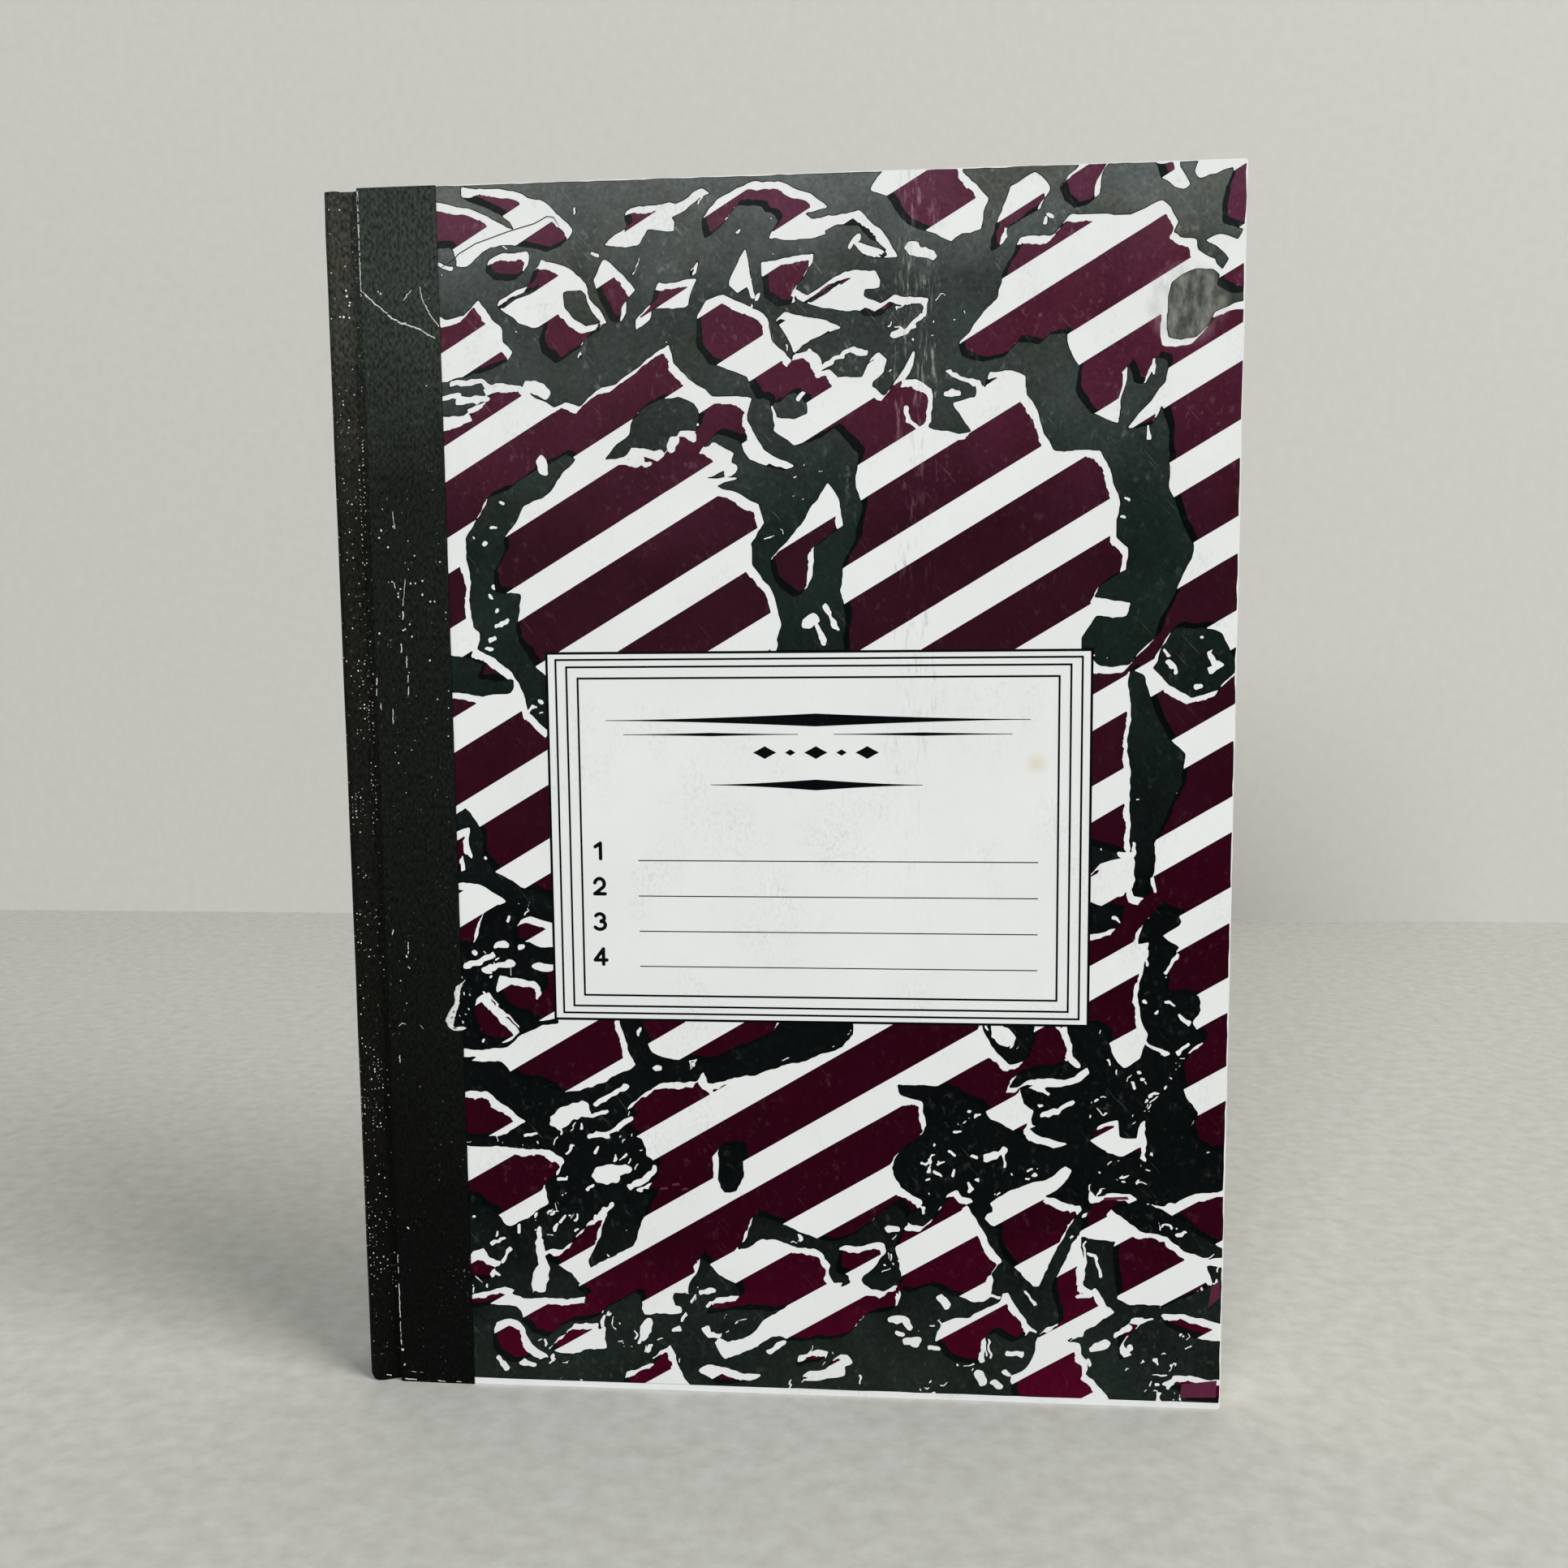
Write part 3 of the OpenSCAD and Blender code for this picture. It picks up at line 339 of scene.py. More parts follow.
# White flecks in the dark masses, each (half width, points)
FLECKS = [
    (0.35, [(15.2, 34), (15.4, 31)]), (0.9, [(15.4, 31), (15, 27), (15.6, 24)]),
    (1.5, [(15.4, 24.5), (15, 21)]), (1.9, [(19.8, 57.5), (22, 59.5), (24.5, 60)]),
    (1.3, [(28.4, 45.4), (31.6, 45.5)]), (1.2, [(28.7, 46.7), (34, 47.5)]),
    (0.4, [(26, 59), (30, 59.8)]), (0.6, [(28, 61.5), (31, 63.3), (34, 65)]),
    (0.4, [(12.5, 54), (15, 54.8)]), (0.7, [(26.5, 54.3), (30, 54.5)]),
    (0.5, [(30.5, 55), (35.5, 58.5)]), (0.3, [(21.5, 50), (22.5, 52)]),
    (0.3, [(27.5, 50.8), (28.3, 51.5)]), (0.3, [(33, 50), (34, 51)]), (0.4, [(19.5, 45), (21.5, 45)]),
    (0.3, [(25.8, 42.5), (27, 43.5)]), (0.6, [(35, 43.5), (38, 45), (40, 47.5)]),
    (0.5, [(27.8, 36.8), (29.3, 38.5), (31, 39.4)]), (0.3, [(19.5, 35), (20.8, 37)]),
    (0.4, [(4.5, 30), (7.5, 31.5)]), (0.3, [(6, 32), (6.2, 33)]), (0.4, [(10.3, 33), (10.5, 34.5)]),
    (0.4, [(7, 26.5), (8.8, 29)]), (0.3, [(5, 24), (6, 23)]), (0.6, [(5.5, 4.5), (7.3, 2.5)]),
    (0.7, [(11, 4), (13, 3.5)]), (0.3, [(15.7, 8), (15.8, 9)]), (1.2, [(37, 11), (37.8, 13.5)]),
    (0.4, [(36, 9.5), (36.5, 10.5)]), (0.4, [(38, 7.5), (38.5, 8.5)]),
    (0.5, [(43.5, 12.3), (45, 12.5)]), (0.4, [(45.5, 14.5), (46.5, 16)]),
    (0.3, [(47.5, 18.5), (48.5, 20)]), (0.5, [(50, 20.5), (52, 21.5)]), (0.4, [(51, 18), (52, 19)]),
    (0.6, [(50.5, 12.5), (51.5, 11), (53, 11.5)]), (0.8, [(53.5, 10), (55, 8), (56, 9.5)]),
    (0.35, [(101.9, 52.5), (103, 51.9)]), (0.3, [(98.9, 48.1), (100.4, 47.1)]),
    (0.35, [(102.6, 47.3), (102.9, 48.6)]), (0.3, [(105.5, 46), (106.3, 44.5)]),
    (0.6, [(109, 51.5), (112, 52.3), (113, 53)]), (0.3, [(113.3, 50), (113, 53)]),
    (0.3, [(119, 48), (119.5, 48.5)]), (0.35, [(96.4, 39.2), (96.1, 40.2)]),
    (0.8, [(89.2, 35.8), (91.2, 35.7)]), (0.9, [(100, 21), (101.5, 19.5)]),
    (0.8, [(90, 16), (92, 16), (93.5, 14)]), (0.5, [(90.8, 13), (92, 12.5)]),
    (0.8, [(93, 11), (95.5, 11)]), (0.6, [(98, 10), (99.5, 9.8)]), (1.1, [(108, 4.5), (109, 3)]),
    (0.8, [(111.5, 3), (112.5, 2.2)]), (0.6, [(114, 5), (114.5, 4.6)]), (0.25, [(110.2, 12), (111, 8)]),
    (0.2, [(109.4, 12), (110, 8.5)]), (0.5, [(114, 9), (117, 9)]), (0.25, [(117.5, 22.5), (120, 19.5)]),
    (0.3, [(128.5, 35), (128.5, 25)]), (0.25, [(129.8, 34), (129.5, 26)]),
    (0.4, [(128.3, 22), (131.5, 23)]), (0.35, [(130.5, 31), (132, 31), (133, 27)]),
    (0.8, [(132, 11), (134.5, 12)]), (0.5, [(131, 8.5), (131.5, 7.5)]),
    (0.6, [(136.5, 14), (139, 15.5)]), (0.4, [(138, 10), (139.5, 11.5)]), (0.4, [(147, 3), (148, 4.5)]),
    (0.3, [(141, 17), (143, 18)]), (1.3, [(17.8, 209), (20, 208.5), (21, 207.5)]),
    (0.6, [(2, 210), (8, 210.5), (10, 209.3), (16, 208.8)]), (0.5, [(0, 207.5), (3, 207.3)]),
    (0.7, [(3.5, 206.5), (8.5, 206.8)]), (0.8, [(-1, 202.5), (5, 203)]),
    (0.6, [(60, 204.8), (61.5, 204.5)]), (0.4, [(0, 233), (3, 232.5)]),
    (0.3, [(31, 234.5), (32.5, 234.3)]), (0.55, [(90.3, 217.4), (93, 218.5), (95.8, 221.2)]),
    (0.5, [(92.5, 208.5), (96, 208), (97.7, 205), (97.5, 201)]),
    (0.5, [(93, 203.5), (93.5, 201), (96, 199)]), (0.9, [(94, 234), (98, 232.5)]),
    (0.5, [(82, 235), (84, 236.5)]), (1.3, [(54.5, 196), (56.5, 194.5), (58, 192)]),
    (1.5, [(38.8, 195.4), (39.6, 194.4)]), (0.8, [(43, 195.1), (44.2, 195.3)]),
    (0.5, [(35.5, 194.1), (42, 193.6)]), (0.9, [(46.4, 196.9), (46.9, 197.9)]),
    (0.8, [(48.6, 199.4), (50.6, 198.6)]), (1.1, [(20, 194.6), (20.2, 193)]),
    (0.5, [(7.8, 178), (7.9, 178.2)]), (0.3, [(9, 181.7), (9.8, 181.4)]),
    (0.3, [(11.3, 186.5), (12, 186)]), (0.4, [(9.2, 169.8), (9.3, 169.4)]),
    (0.4, [(8.5, 167.5), (8.6, 167.3)]), (0.5, [(10, 161.5), (11.5, 162.5)]),
    (0.3, [(9.5, 164.5), (9.6, 164.3)]), (0.4, [(8, 158.5), (9, 159)]), (0.3, [(7, 157), (8.5, 156.5)]),
    (0.3, [(16, 143.5), (16.8, 145)]), (0.3, [(18.5, 146.5), (18.6, 146.2)]),
    (1.1, [(72.8, 161.5), (74.5, 162.5)]), (0.6, [(75.2, 161), (76.5, 157.5)]),
    (0.45, [(77.2, 165), (79, 160.5)]), (0.35, [(135.8, 185.3), (136.5, 185)]),
    (0.4, [(135.3, 182), (135.5, 182)]), (0.5, [(144.5, 153.5), (146, 151)]),
    (0.35, [(143.8, 155.5), (144.5, 154.8)]), (0.7, [(152.8, 155), (153.5, 153)]),
    (0.6, [(154.5, 153), (152.8, 151.5)]), (0.4, [(150, 148), (151, 148.2)]),
    (0.3, [(151, 158), (151.2, 158)]), (0.35, [(140.8, 211.5), (140.8, 209)]),
    (0.35, [(2, 118.5), (1.8, 116), (2.7, 114)]), (0.3, [(6, 113.5), (6.1, 113.3)]),
    (0.6, [(1, 91), (4, 92), (7, 93.5)]), (0.5, [(7.5, 95.2), (10, 95.5)]),
    (0.7, [(5, 90), (8, 91), (11, 91.5)]), (0.5, [(12.8, 95), (13, 95)]),
    (0.3, [(10, 100), (10.5, 101)]), (0.28, [(4.8, 85.2), (7, 82), (11, 76.8)]),
    (0.2, [(5.5, 85), (8, 82), (11.5, 77.5)]), (0.5, [(40.5, 69), (41.5, 69.3)]),
    (0.4, [(49, 70), (49.2, 70)]), (0.3, [(37, 76), (37.5, 78)]),
    (0.5, [(51, 68), (51.5, 66), (52.5, 64.5)]), (0.35, [(138.3, 117), (138.6, 108)]),
    (0.4, [(142.5, 110), (143, 107.5)]), (0.4, [(134.5, 102), (135.5, 101.7)]),
    (0.5, [(136, 115), (138, 115.3)]), (0.3, [(141.5, 95), (141.3, 92)]),
    (0.35, [(145, 91), (147.5, 94.5)]), (0.4, [(141, 85), (141.1, 85)]),
    (0.3, [(145.5, 84.8), (147, 84.5)]), (0.3, [(143, 82.3), (143.7, 83)]),
    (0.35, [(148, 82.3), (150, 80.5)]), (0.4, [(139.5, 79), (141, 76.5), (144, 75), (145.5, 73.8)]),
    (0.4, [(147.5, 74), (150, 76)]), (0.35, [(140.3, 70.5), (140.4, 70.2)]),
    (0.4, [(139, 67.5), (139.2, 67)]), (0.4, [(145.3, 67), (145.4, 67)]),
    (0.5, [(126, 76), (126.5, 73), (128, 71)]), (0.4, [(124, 79), (125, 77.5)]),
    (2.6, [(134, 110), (135, 109)]), (0.5, [(121, 60.5), (123.5, 62), (126.5, 63.3)]),
    (0.3, [(51.8, 201.3), (51.9, 201.2)]),
    (0.5, [(74.2, 214.4), (76.8, 211.6), (82.9, 215), (84.8, 214)]), (0.45, [(71.7, 206), (73, 207.2)]),
    (0.6, [(120.3, 239.4), (120.8, 239.1)]), (0.3, [(119.2, 237.6), (119.7, 238.5)]),
    (0.25, [(111.9, 235.6), (111.8, 236.8)]),
    (0.5, [(101.3, 210.2), (104, 208.8), (107.3, 207.6), (108.2, 206)]),
    (0.6, [(101, 205.9), (103.3, 205.8)]), (0.3, [(140.3, 198.7), (140.2, 196.8)]),
    (0.4, [(28.1, 13), (28.5, 14.3)]), (0.6, [(64, 7.8), (66, 9.2), (67, 10.2)]),
    (0.3, [(96.5, 50.2), (96.7, 50.2)]), (0.3, [(106.5, 52), (107.3, 51.6)]),
    (0.25, [(99.6, 49.4), (100.6, 50.4)]), (0.25, [(98.7, 54), (98.8, 54.2)]),
    (0.25, [(107.4, 46.9), (107.5, 46.8)]), (0.25, [(97.5, 43.7), (97.6, 43.6)]),
    (0.7, [(-1.5, 26.6), (1, 27.3), (3.4, 26.4)]), (0.5, [(117, 61.5), (119, 58.5)]),
    (0.4, [(120, 66.5), (122, 65)]),
]
# Specks in the print that the bite in the cloth's edge lays bare
BITE_FLECKS = [
    (0.15, [(0.7, 84.9), (0.7, 84.3)]), (0.1, [(1.9, 84.4), (1.9, 84.0)]),
    (0.11, [(1.3, 81.6), (1.5, 81.3)]), (0.1, [(-0.6, 80.4), (-0.3, 80.0)]),
    (0.12, [(0, 78.9), (0.3, 78.7), (0.1, 78.4)]), (0.1, [(0.8, 80.6), (1.1, 80.3)]),
]
# White backing torn up along the bite: its outer side and its inner side, both from the top down
TORN_OUTSIDE = [
    (0.8, 87.8), (-0.3, 86.8), (-1.2, 86.3), (-1.6, 85.1), (-1.7, 84.6), (-1.5, 83.5), (-1.7, 82.5),
    (-2.5, 81.4), (-3.3, 80.1), (-3.8, 78.8), (-3.4, 78.3), (-3.2, 77.6), (-2.3, 76.9), (-1.2, 76.75),
    (0.0, 76.9), (0.7, 77.35),
]
TORN_INSIDE = [
    (0.75, 87.6), (0.1, 86.6), (-0.4, 85.4), (-0.5, 84.6), (-0.6, 83.8), (-0.7, 82.4), (-1.2, 81.2),
    (-1.7, 79.8), (-2.0, 78.4), (-2.2, 77.9), (-2.1, 77.6), (-1.4, 77.45), (0.1, 77.6), (0.7, 77.4),
]
# Hair caught on the sheet near the head
HAIR = [
    (-0.1, 232.4), (3.0, 234.1), (4.2, 235.3), (7.7, 237.2), (14.6, 239.4), (19.7, 240.7),
    (22.3, 242.0), (23.6, 241.8), (24.7, 240.1),
]
# Places where the dark inks are rubbed off down to a thin magenta film
MAGENTA_RUBS = [
    [(149.6, 0.9), (156.9, 1.2), (157.0, 4.9), (153.2, 4.3), (149.9, 3.9)],
    [(154.9, 20.6), (157.2, 22.8), (157.2, 26.4), (155.6, 25.2)],
    [(16.4, 44.6), (16.9, 44.5), (17.0, 45.1), (16.5, 45.2)],
    [(17.6, 47.2), (18.4, 47.5), (18.1, 48.3), (17.5, 48.0)],
    [(41.2, 43.0), (43.0, 43.2), (42.8, 43.7), (41.4, 43.5)],
    [(43.8, 43.9), (45.6, 44.1), (45.2, 44.7), (43.9, 44.4)],
    [(45.9, 42.9), (47.4, 43.2), (46.9, 43.7), (46.0, 43.4)],
    [(133.4, 43.0), (138.6, 43.3), (138.2, 43.9), (133.6, 43.6)],
]
# Colour, shader and mesh tools


def ink(text):
    """An sRGB hex colour as linear RGBA."""
    parts = [int(text[i : i + 2], 16) / 255 for i in (1, 3, 5)]
    return [p / 12.92 if p <= 0.04045 else ((p + 0.055) / 1.055) ** 2.4 for p in parts] + [1.0]


def add(tree, kind, feeds=None, out=0, **settings):
    """Adds a shader node with its settings and gives one of its outputs.

    A feed is a number, a hex colour or another node's output to link.
    """
    made = tree.nodes.new(kind)
    for name, value in settings.items():
        setattr(made, name, value)
    for name, value in (feeds or {}).items():
        if isinstance(value, bpy.types.NodeSocket):
            tree.links.new(value, made.inputs[name])
        else:
            made.inputs[name].default_value = ink(value) if isinstance(value, str) else value
    return made.outputs[out] if made.outputs else made


def piece(name, mesh):
    """A new object of this mesh in the scene."""
    made = bpy.data.objects.new(name, mesh)
    bpy.context.scene.collection.objects.link(made)
    return made


def solid(name, points, faces, crease=35):
    """A smooth mesh piece from points in millimetres, sharp where faces meet at more than the crease."""
    mesh = bpy.data.meshes.new(name)
    mesh.from_pydata([[c * MM for c in p] for p in points], [], faces)
    mesh.validate()
    mesh.shade_smooth()
    mesh.set_sharp_from_angle(angle=math.radians(crease))
    return piece(name, mesh)


def clad(obj, material, body, *nodes, slot=None):
    """Gives a piece its material and body, and hides the CAD nodes that it stands for."""
    obj.data.materials.clear()
    obj.data.materials.append(material)
    if body:
        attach(obj, body)
    if nodes:
        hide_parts(*nodes)
    return obj


# Print: fields of ink on a grid

# Grid cells a millimetre
CELLS = 6
GRID_START = (SPINE_X - STRIP_X, -2)
STRAY_FLECKS = 300
grid_u = np.arange(GRID_START[0], PRINT_W + 2, 1 / CELLS)
grid_v = np.arange(GRID_START[1], PRINT_H + 2, 1 / CELLS)
U, V = np.meshgrid(grid_u, grid_v)


def ease(x, low, high):
    """Goes softly from 0 at low to 1 at high."""
    t = np.clip((x - low) / (high - low), 0, 1)
    return t * t * (3 - 2 * t)


def chance(i, j, seed):
    """A fixed number from 0 to 1 for each pair of whole numbers."""
    h = np.sin(i * 12.9898 + j * 78.233 + seed * 37.719) * 43758.5453
    return h - np.floor(h)


def drift(x, y, size, seed, rounded=True):
    """Irregular swell from -1 to 1, its humps `size` apart. Not rounded, it has creases."""
    x, y = x / size, y / size
    i, j = np.floor(x), np.floor(y)
    s, t = x - i, y - j
    if rounded:
        s, t = s * s * (3 - 2 * s), t * t * (3 - 2 * t)
    low = chance(i, j, seed) * (1 - s) + chance(i + 1, j, seed) * s
    high = chance(i, j + 1, seed) * (1 - s) + chance(i + 1, j + 1, seed) * s
    return 2 * (low * (1 - t) + high * t) - 1


def window(points, margin):
    """The part of the grid that lies round some points, as two slices."""
    lo, hi = np.min(points, axis=0) - margin, np.max(points, axis=0) + margin
    cols = slice(*np.searchsorted(grid_u, [lo[0], hi[0]]))
    rows = slice(*np.searchsorted(grid_v, [lo[1], hi[1]]))
    return rows, cols


def inside(outline, x, y):
    """True where a point lies in a closed outline."""
    found = np.zeros(x.shape, bool)
    for (x0, y0), (x1, y1) in zip(outline, outline[1:] + outline[:1]):
        if y0 != y1:
            crossed = (y0 > y) != (y1 > y)
            found ^= crossed & (x < x0 + (y - y0) * (x1 - x0) / (y1 - y0))
    return found


def soften(field, radius):
    """Rounds a field's corners, radius in mm."""
    reach = int(3 * radius * CELLS) + 1
    weights = np.exp(-0.5 * (np.arange(-reach, reach + 1) / (radius * CELLS)) ** 2)
    weights /= weights.sum()
    for axis in (0, 1):
        padded = np.pad(field, [(reach, reach) if a == axis else (0, 0) for a in (0, 1)], mode="edge")
        n = field.shape[axis]
        field = sum(w * np.take(padded, range(k, k + n), axis=axis) for k, w in enumerate(weights))
    return field


def from_edge(mask, radius):
    """Distance in mm inside a mask's rounded edge, below zero outside it, true near the edge."""
    share = np.clip(soften(mask.astype(float), radius), 1e-4, 1 - 1e-4)
    return radius * np.log(share / (1 - share)) / 1.7


def moved(field, du, dv):
    """The field's value at a place du, dv millimetres away, where du and dv may be fields too."""
    ny, nx = field.shape
    rows = np.clip(np.arange(ny)[:, None] + np.rint(dv * CELLS).astype(int), 0, ny - 1)
    cols = np.clip(np.arange(nx)[None, :] + np.rint(du * CELLS).astype(int), 0, nx - 1)
    return field[np.broadcast_to(rows, field.shape), np.broadcast_to(cols, field.shape)]


def smear(field, du, dv):
    """The shape swept along du, dv."""
    return np.maximum.reduce([moved(field, du * t, dv * t) for t in (0.34, 0.67, 1.0)])


def strokes(list_of_strokes, x, y):
    """Distance inside round-ended pen strokes, each (half width, points), below zero outside them."""
    found = np.full(U.shape, -9.0)
    for half, points in list_of_strokes:
        rows, cols = window(points, half + 1.5)
        for (x0, y0), (x1, y1) in zip(points, points[1:]):
            px, py, dx, dy = x[rows, cols] - x0, y[rows, cols] - y0, x1 - x0, y1 - y0
            t = np.clip((px * dx + py * dy) / (dx * dx + dy * dy), 0, 1)
            gap = half - np.hypot(px - t * dx, py - t * dy)
            found[rows, cols] = np.maximum(found[rows, cols], gap)
    return found


def stray_flecks(marbling, count, seed):
    """Small white flecks where the ink missed, in clusters, thickest in the lower masses of the marbling."""
    rng = np.random.default_rng(seed)
    made = []
    while len(made) < count:
        u, v = rng.uniform(0, PRINT_W), rng.uniform(0, PRINT_H)
        crowded = 1.0 if v < 66 else 0.4 if v < 100 else 0.2
        crowded *= ease(float(drift(np.array(u), np.array(v), 7.0, seed + 1)), 0.0, 0.5)
        j, i = int((v - GRID_START[1]) * CELLS), int((u - GRID_START[0]) * CELLS)
        if rng.random() < crowded and marbling[j, i] > 0.25:
            half = rng.choice([0.1, 0.15, 0.22, 0.34], p=[0.4, 0.33, 0.2, 0.07])
            long = min(rng.exponential(0.34), 1.3) + 0.02
            turn = math.radians(rng.normal(50, 40))
            bend = rng.uniform(-0.4, 0.4) * long
            a = (u - long * math.cos(turn), v - long * math.sin(turn))
            b = (u + bend * math.sin(turn), v - bend * math.cos(turn))
            c = (u + long * math.cos(turn), v + long * math.sin(turn))
            made.append((half, [a, b, c]))
    return made


def marbled_sheet(labelled):
    """The sheet's three ink fields, above zero where there is ink.

    They are the near-black key, which is printed first, the maroon and the marbling.
    """
    x = U + 0.42 * drift(U, V, 3.3, 1, False) + 0.16 * drift(U, V, 1.2, 2)
    y = V + 0.42 * drift(U, V, 3.1, 3, False) + 0.16 * drift(U, V, 1.3, 4)
    mask = np.zeros(U.shape, bool)
    for outlines_, dark in ((BLOTS, True), (OPENINGS, False), (INNER_BLOTS, True)):
        for outline in outlines_:
            rows, cols = window(outline, 1.5)
            hit = inside(outline, x[rows, cols], y[rows, cols])
            mask[rows, cols][hit] = dark
    ragged = 0.03 + 0.08 * np.clip((110 - V) / 40, 0, 1)
    dark = from_edge(mask, 0.2) + ragged * drift(U, V, 0.8, 5)

    torn_x, torn_y = x + 0.32 * drift(U, V, 0.9, 15), y + 0.32 * drift(U, V, 1.0, 16)
    flecks = strokes(FLECKS + stray_flecks(dark, STRAY_FLECKS, 11), torn_x, torn_y)
    if labelled:
        across = np.minimum(U - LABEL_U0, LABEL_U1 - U)
        up = np.minimum(V - LABEL_V0, LABEL_V1 - V)
        flecks = np.maximum(flecks, np.minimum(across, up) - 0.02)

    # Colour stripes, square to their direction
    along = (V - (STRIPE_START - TAIL_MARGIN)) * math.cos(STRIPE_ANGLE) - U * math.sin(STRIPE_ANGLE)
    width = STRIPE_PITCH - STRIPE_GAP
    from_middle = np.abs((along - width / 2 + STRIPE_PITCH / 2) % STRIPE_PITCH - STRIPE_PITCH / 2)
    stripe = width / 2 - from_middle + 0.03 * drift(U, V, 1.5, 6)

    wobble = 0.35 * drift(U, V, 2.2, 7, False)
    rim = smear(dark, RIM[0] + wobble, RIM[1] + wobble)
    torn = 0.2 * np.clip((110 - V) / 40, 0.15, 1) * drift(U, V, 0.9, 8)
    maroon = np.minimum(stripe, -np.maximum(dark - 0.06, rim + torn))
    shadow_u = SHADOW[0] + 0.4 * drift(U, V, 2.6, 9, False)
    shadow_v = SHADOW[1] + 0.4 * drift(U, V, 2.4, 10, False)
    shadow = smear(dark, shadow_u, shadow_v)

    # The sheet's trimmed and rubbed edges
    edge = PRINT_W - 0.14 - 0.16 * (drift(U, V, 2.3, 12) + 1) - U
    head = PRINT_H - 0.05 - 0.10 * (drift(U, V, 1.9, 13) + 1) - V
    tail = V + 0.05 * drift(U, V, 2.7, 14)
    start = U + 0.7
    if labelled:
        start = np.where((V > 72) & (V < 92), U + 4.4, start)
    sheet = np.minimum.reduce([edge, head, tail, start])
    if labelled:
        bite = np.minimum(-U + 0.4, 7.5 - np.abs(V - 82))
        dark = np.maximum(dark, np.minimum(bite, 0.5))
        flecks = np.maximum(flecks, strokes(BITE_FLECKS, x, y))

    keep = np.minimum(-flecks, sheet)
    # The key plate runs a little under the maroon, so that no paper shows between them
    key = np.minimum(np.maximum(dark, np.minimum(maroon, shadow + 0.25)), keep)
    colour = np.minimum.reduce([maroon, -shadow, keep])
    marbling = np.minimum(dark - 0.16, keep - 0.12)
    return key, colour, marbling


def outlines(field):
    """Closed outlines round the places where the field is above zero, in mm on the printed field."""
    f = np.pad(field, 1, constant_values=-0.2)
    ny, nx = f.shape
    on = f > 0
    case = on[:-1, :-1] + 2 * on[:-1, 1:] + 4 * on[1:, 1:] + 8 * on[1:, :-1]
    bottom, right, top, left = 0, 1, 2, 3
    turns = {
        1: [(bottom, left)], 2: [(right, bottom)], 4: [(top, right)], 8: [(left, top)],
        3: [(right, left)], 6: [(top, bottom)], 12: [(left, right)], 9: [(bottom, top)],
        7: [(top, left)], 11: [(right, top)], 13: [(bottom, right)], 14: [(left, bottom)],
        5: [(bottom, left), (top, right)], 10: [(right, bottom), (left, top)],
    }
    after = {}
    for kind, pairs in turns.items():
        rows, cols = np.nonzero(case == kind)
        here = rows * nx + cols
        side = {bottom: 2 * here, right: 2 * (here + 1) + 1, top: 2 * (here + nx), left: 2 * here + 1}
        for a, b in pairs:
            after.update(zip(side[a].tolist(), side[b].tolist()))
    loops = []
    flat = f.ravel()
    while after:
        first, spot = after.popitem()
        loop = [first]
        while spot != first:
            loop.append(spot)
            spot = after.pop(spot)
        edge = np.array(loop)
        a = edge // 2
        b = np.where(edge % 2, a + nx, a + 1)
        t = flat[a] / (flat[a] - flat[b])
        u = a % nx + np.where(edge % 2, 0, t) - 1
        v = a // nx + np.where(edge % 2, t, 0) - 1
        loops.append(np.stack([u / CELLS + grid_u[0], v / CELLS + grid_v[0]], axis=1))
    return loops


def thinned(loop, slack):
    """A closed outline with only the points that keep it within `slack` mm of the full one."""
    closed = np.vstack([loop, loop[:1]])
    keep = np.zeros(len(closed), bool)
    far = int(np.argmax(np.hypot(*(closed - closed[0]).T)))
    keep[[0, far, -1]] = True
    work = [(0, far), (far, len(closed) - 1)]
    while work:
        a, b = work.pop()
        if b - a < 2:
            continue
        p, d = closed[a], closed[b] - closed[a]
        off = closed[a + 1 : b] - p
        gap = np.abs(off[:, 0] * d[1] - off[:, 1] * d[0]) / max(math.hypot(*d), 1e-9)
        k = int(np.argmax(gap))
        if gap[k] > slack:
            keep[a + 1 + k] = True
            work += [(a, a + 1 + k), (a + 1 + k, b)]
    return closed[:-1][keep[:-1]]


def area(loop):
    """A closed outline's area in square millimetres."""
    x, y = loop.T
    return 0.5 * abs(np.dot(x, np.roll(y, -1)) - np.dot(y, np.roll(x, -1)))


def ink_level(field, points):
    """The field's value at points (u, v), between the grid's own places."""
    i, j = ((points - GRID_START) * CELLS).T
    i0 = np.clip(i.astype(int), 0, field.shape[1] - 2)
    j0 = np.clip(j.astype(int), 0, field.shape[0] - 2)
    s, t = i - i0, j - j0
    low = field[j0, i0] * (1 - s) + field[j0, i0 + 1] * s
    high = field[j0 + 1, i0] * (1 - s) + field[j0 + 1, i0 + 1] * s
    return low * (1 - t) + high * t


def within(loops, points):
    """True for points that an odd number of outlines go round."""
    found = np.zeros(len(points), bool)
    for loop in loops:
        found ^= inside([tuple(p) for p in loop], points[:, 0], points[:, 1])
    return found


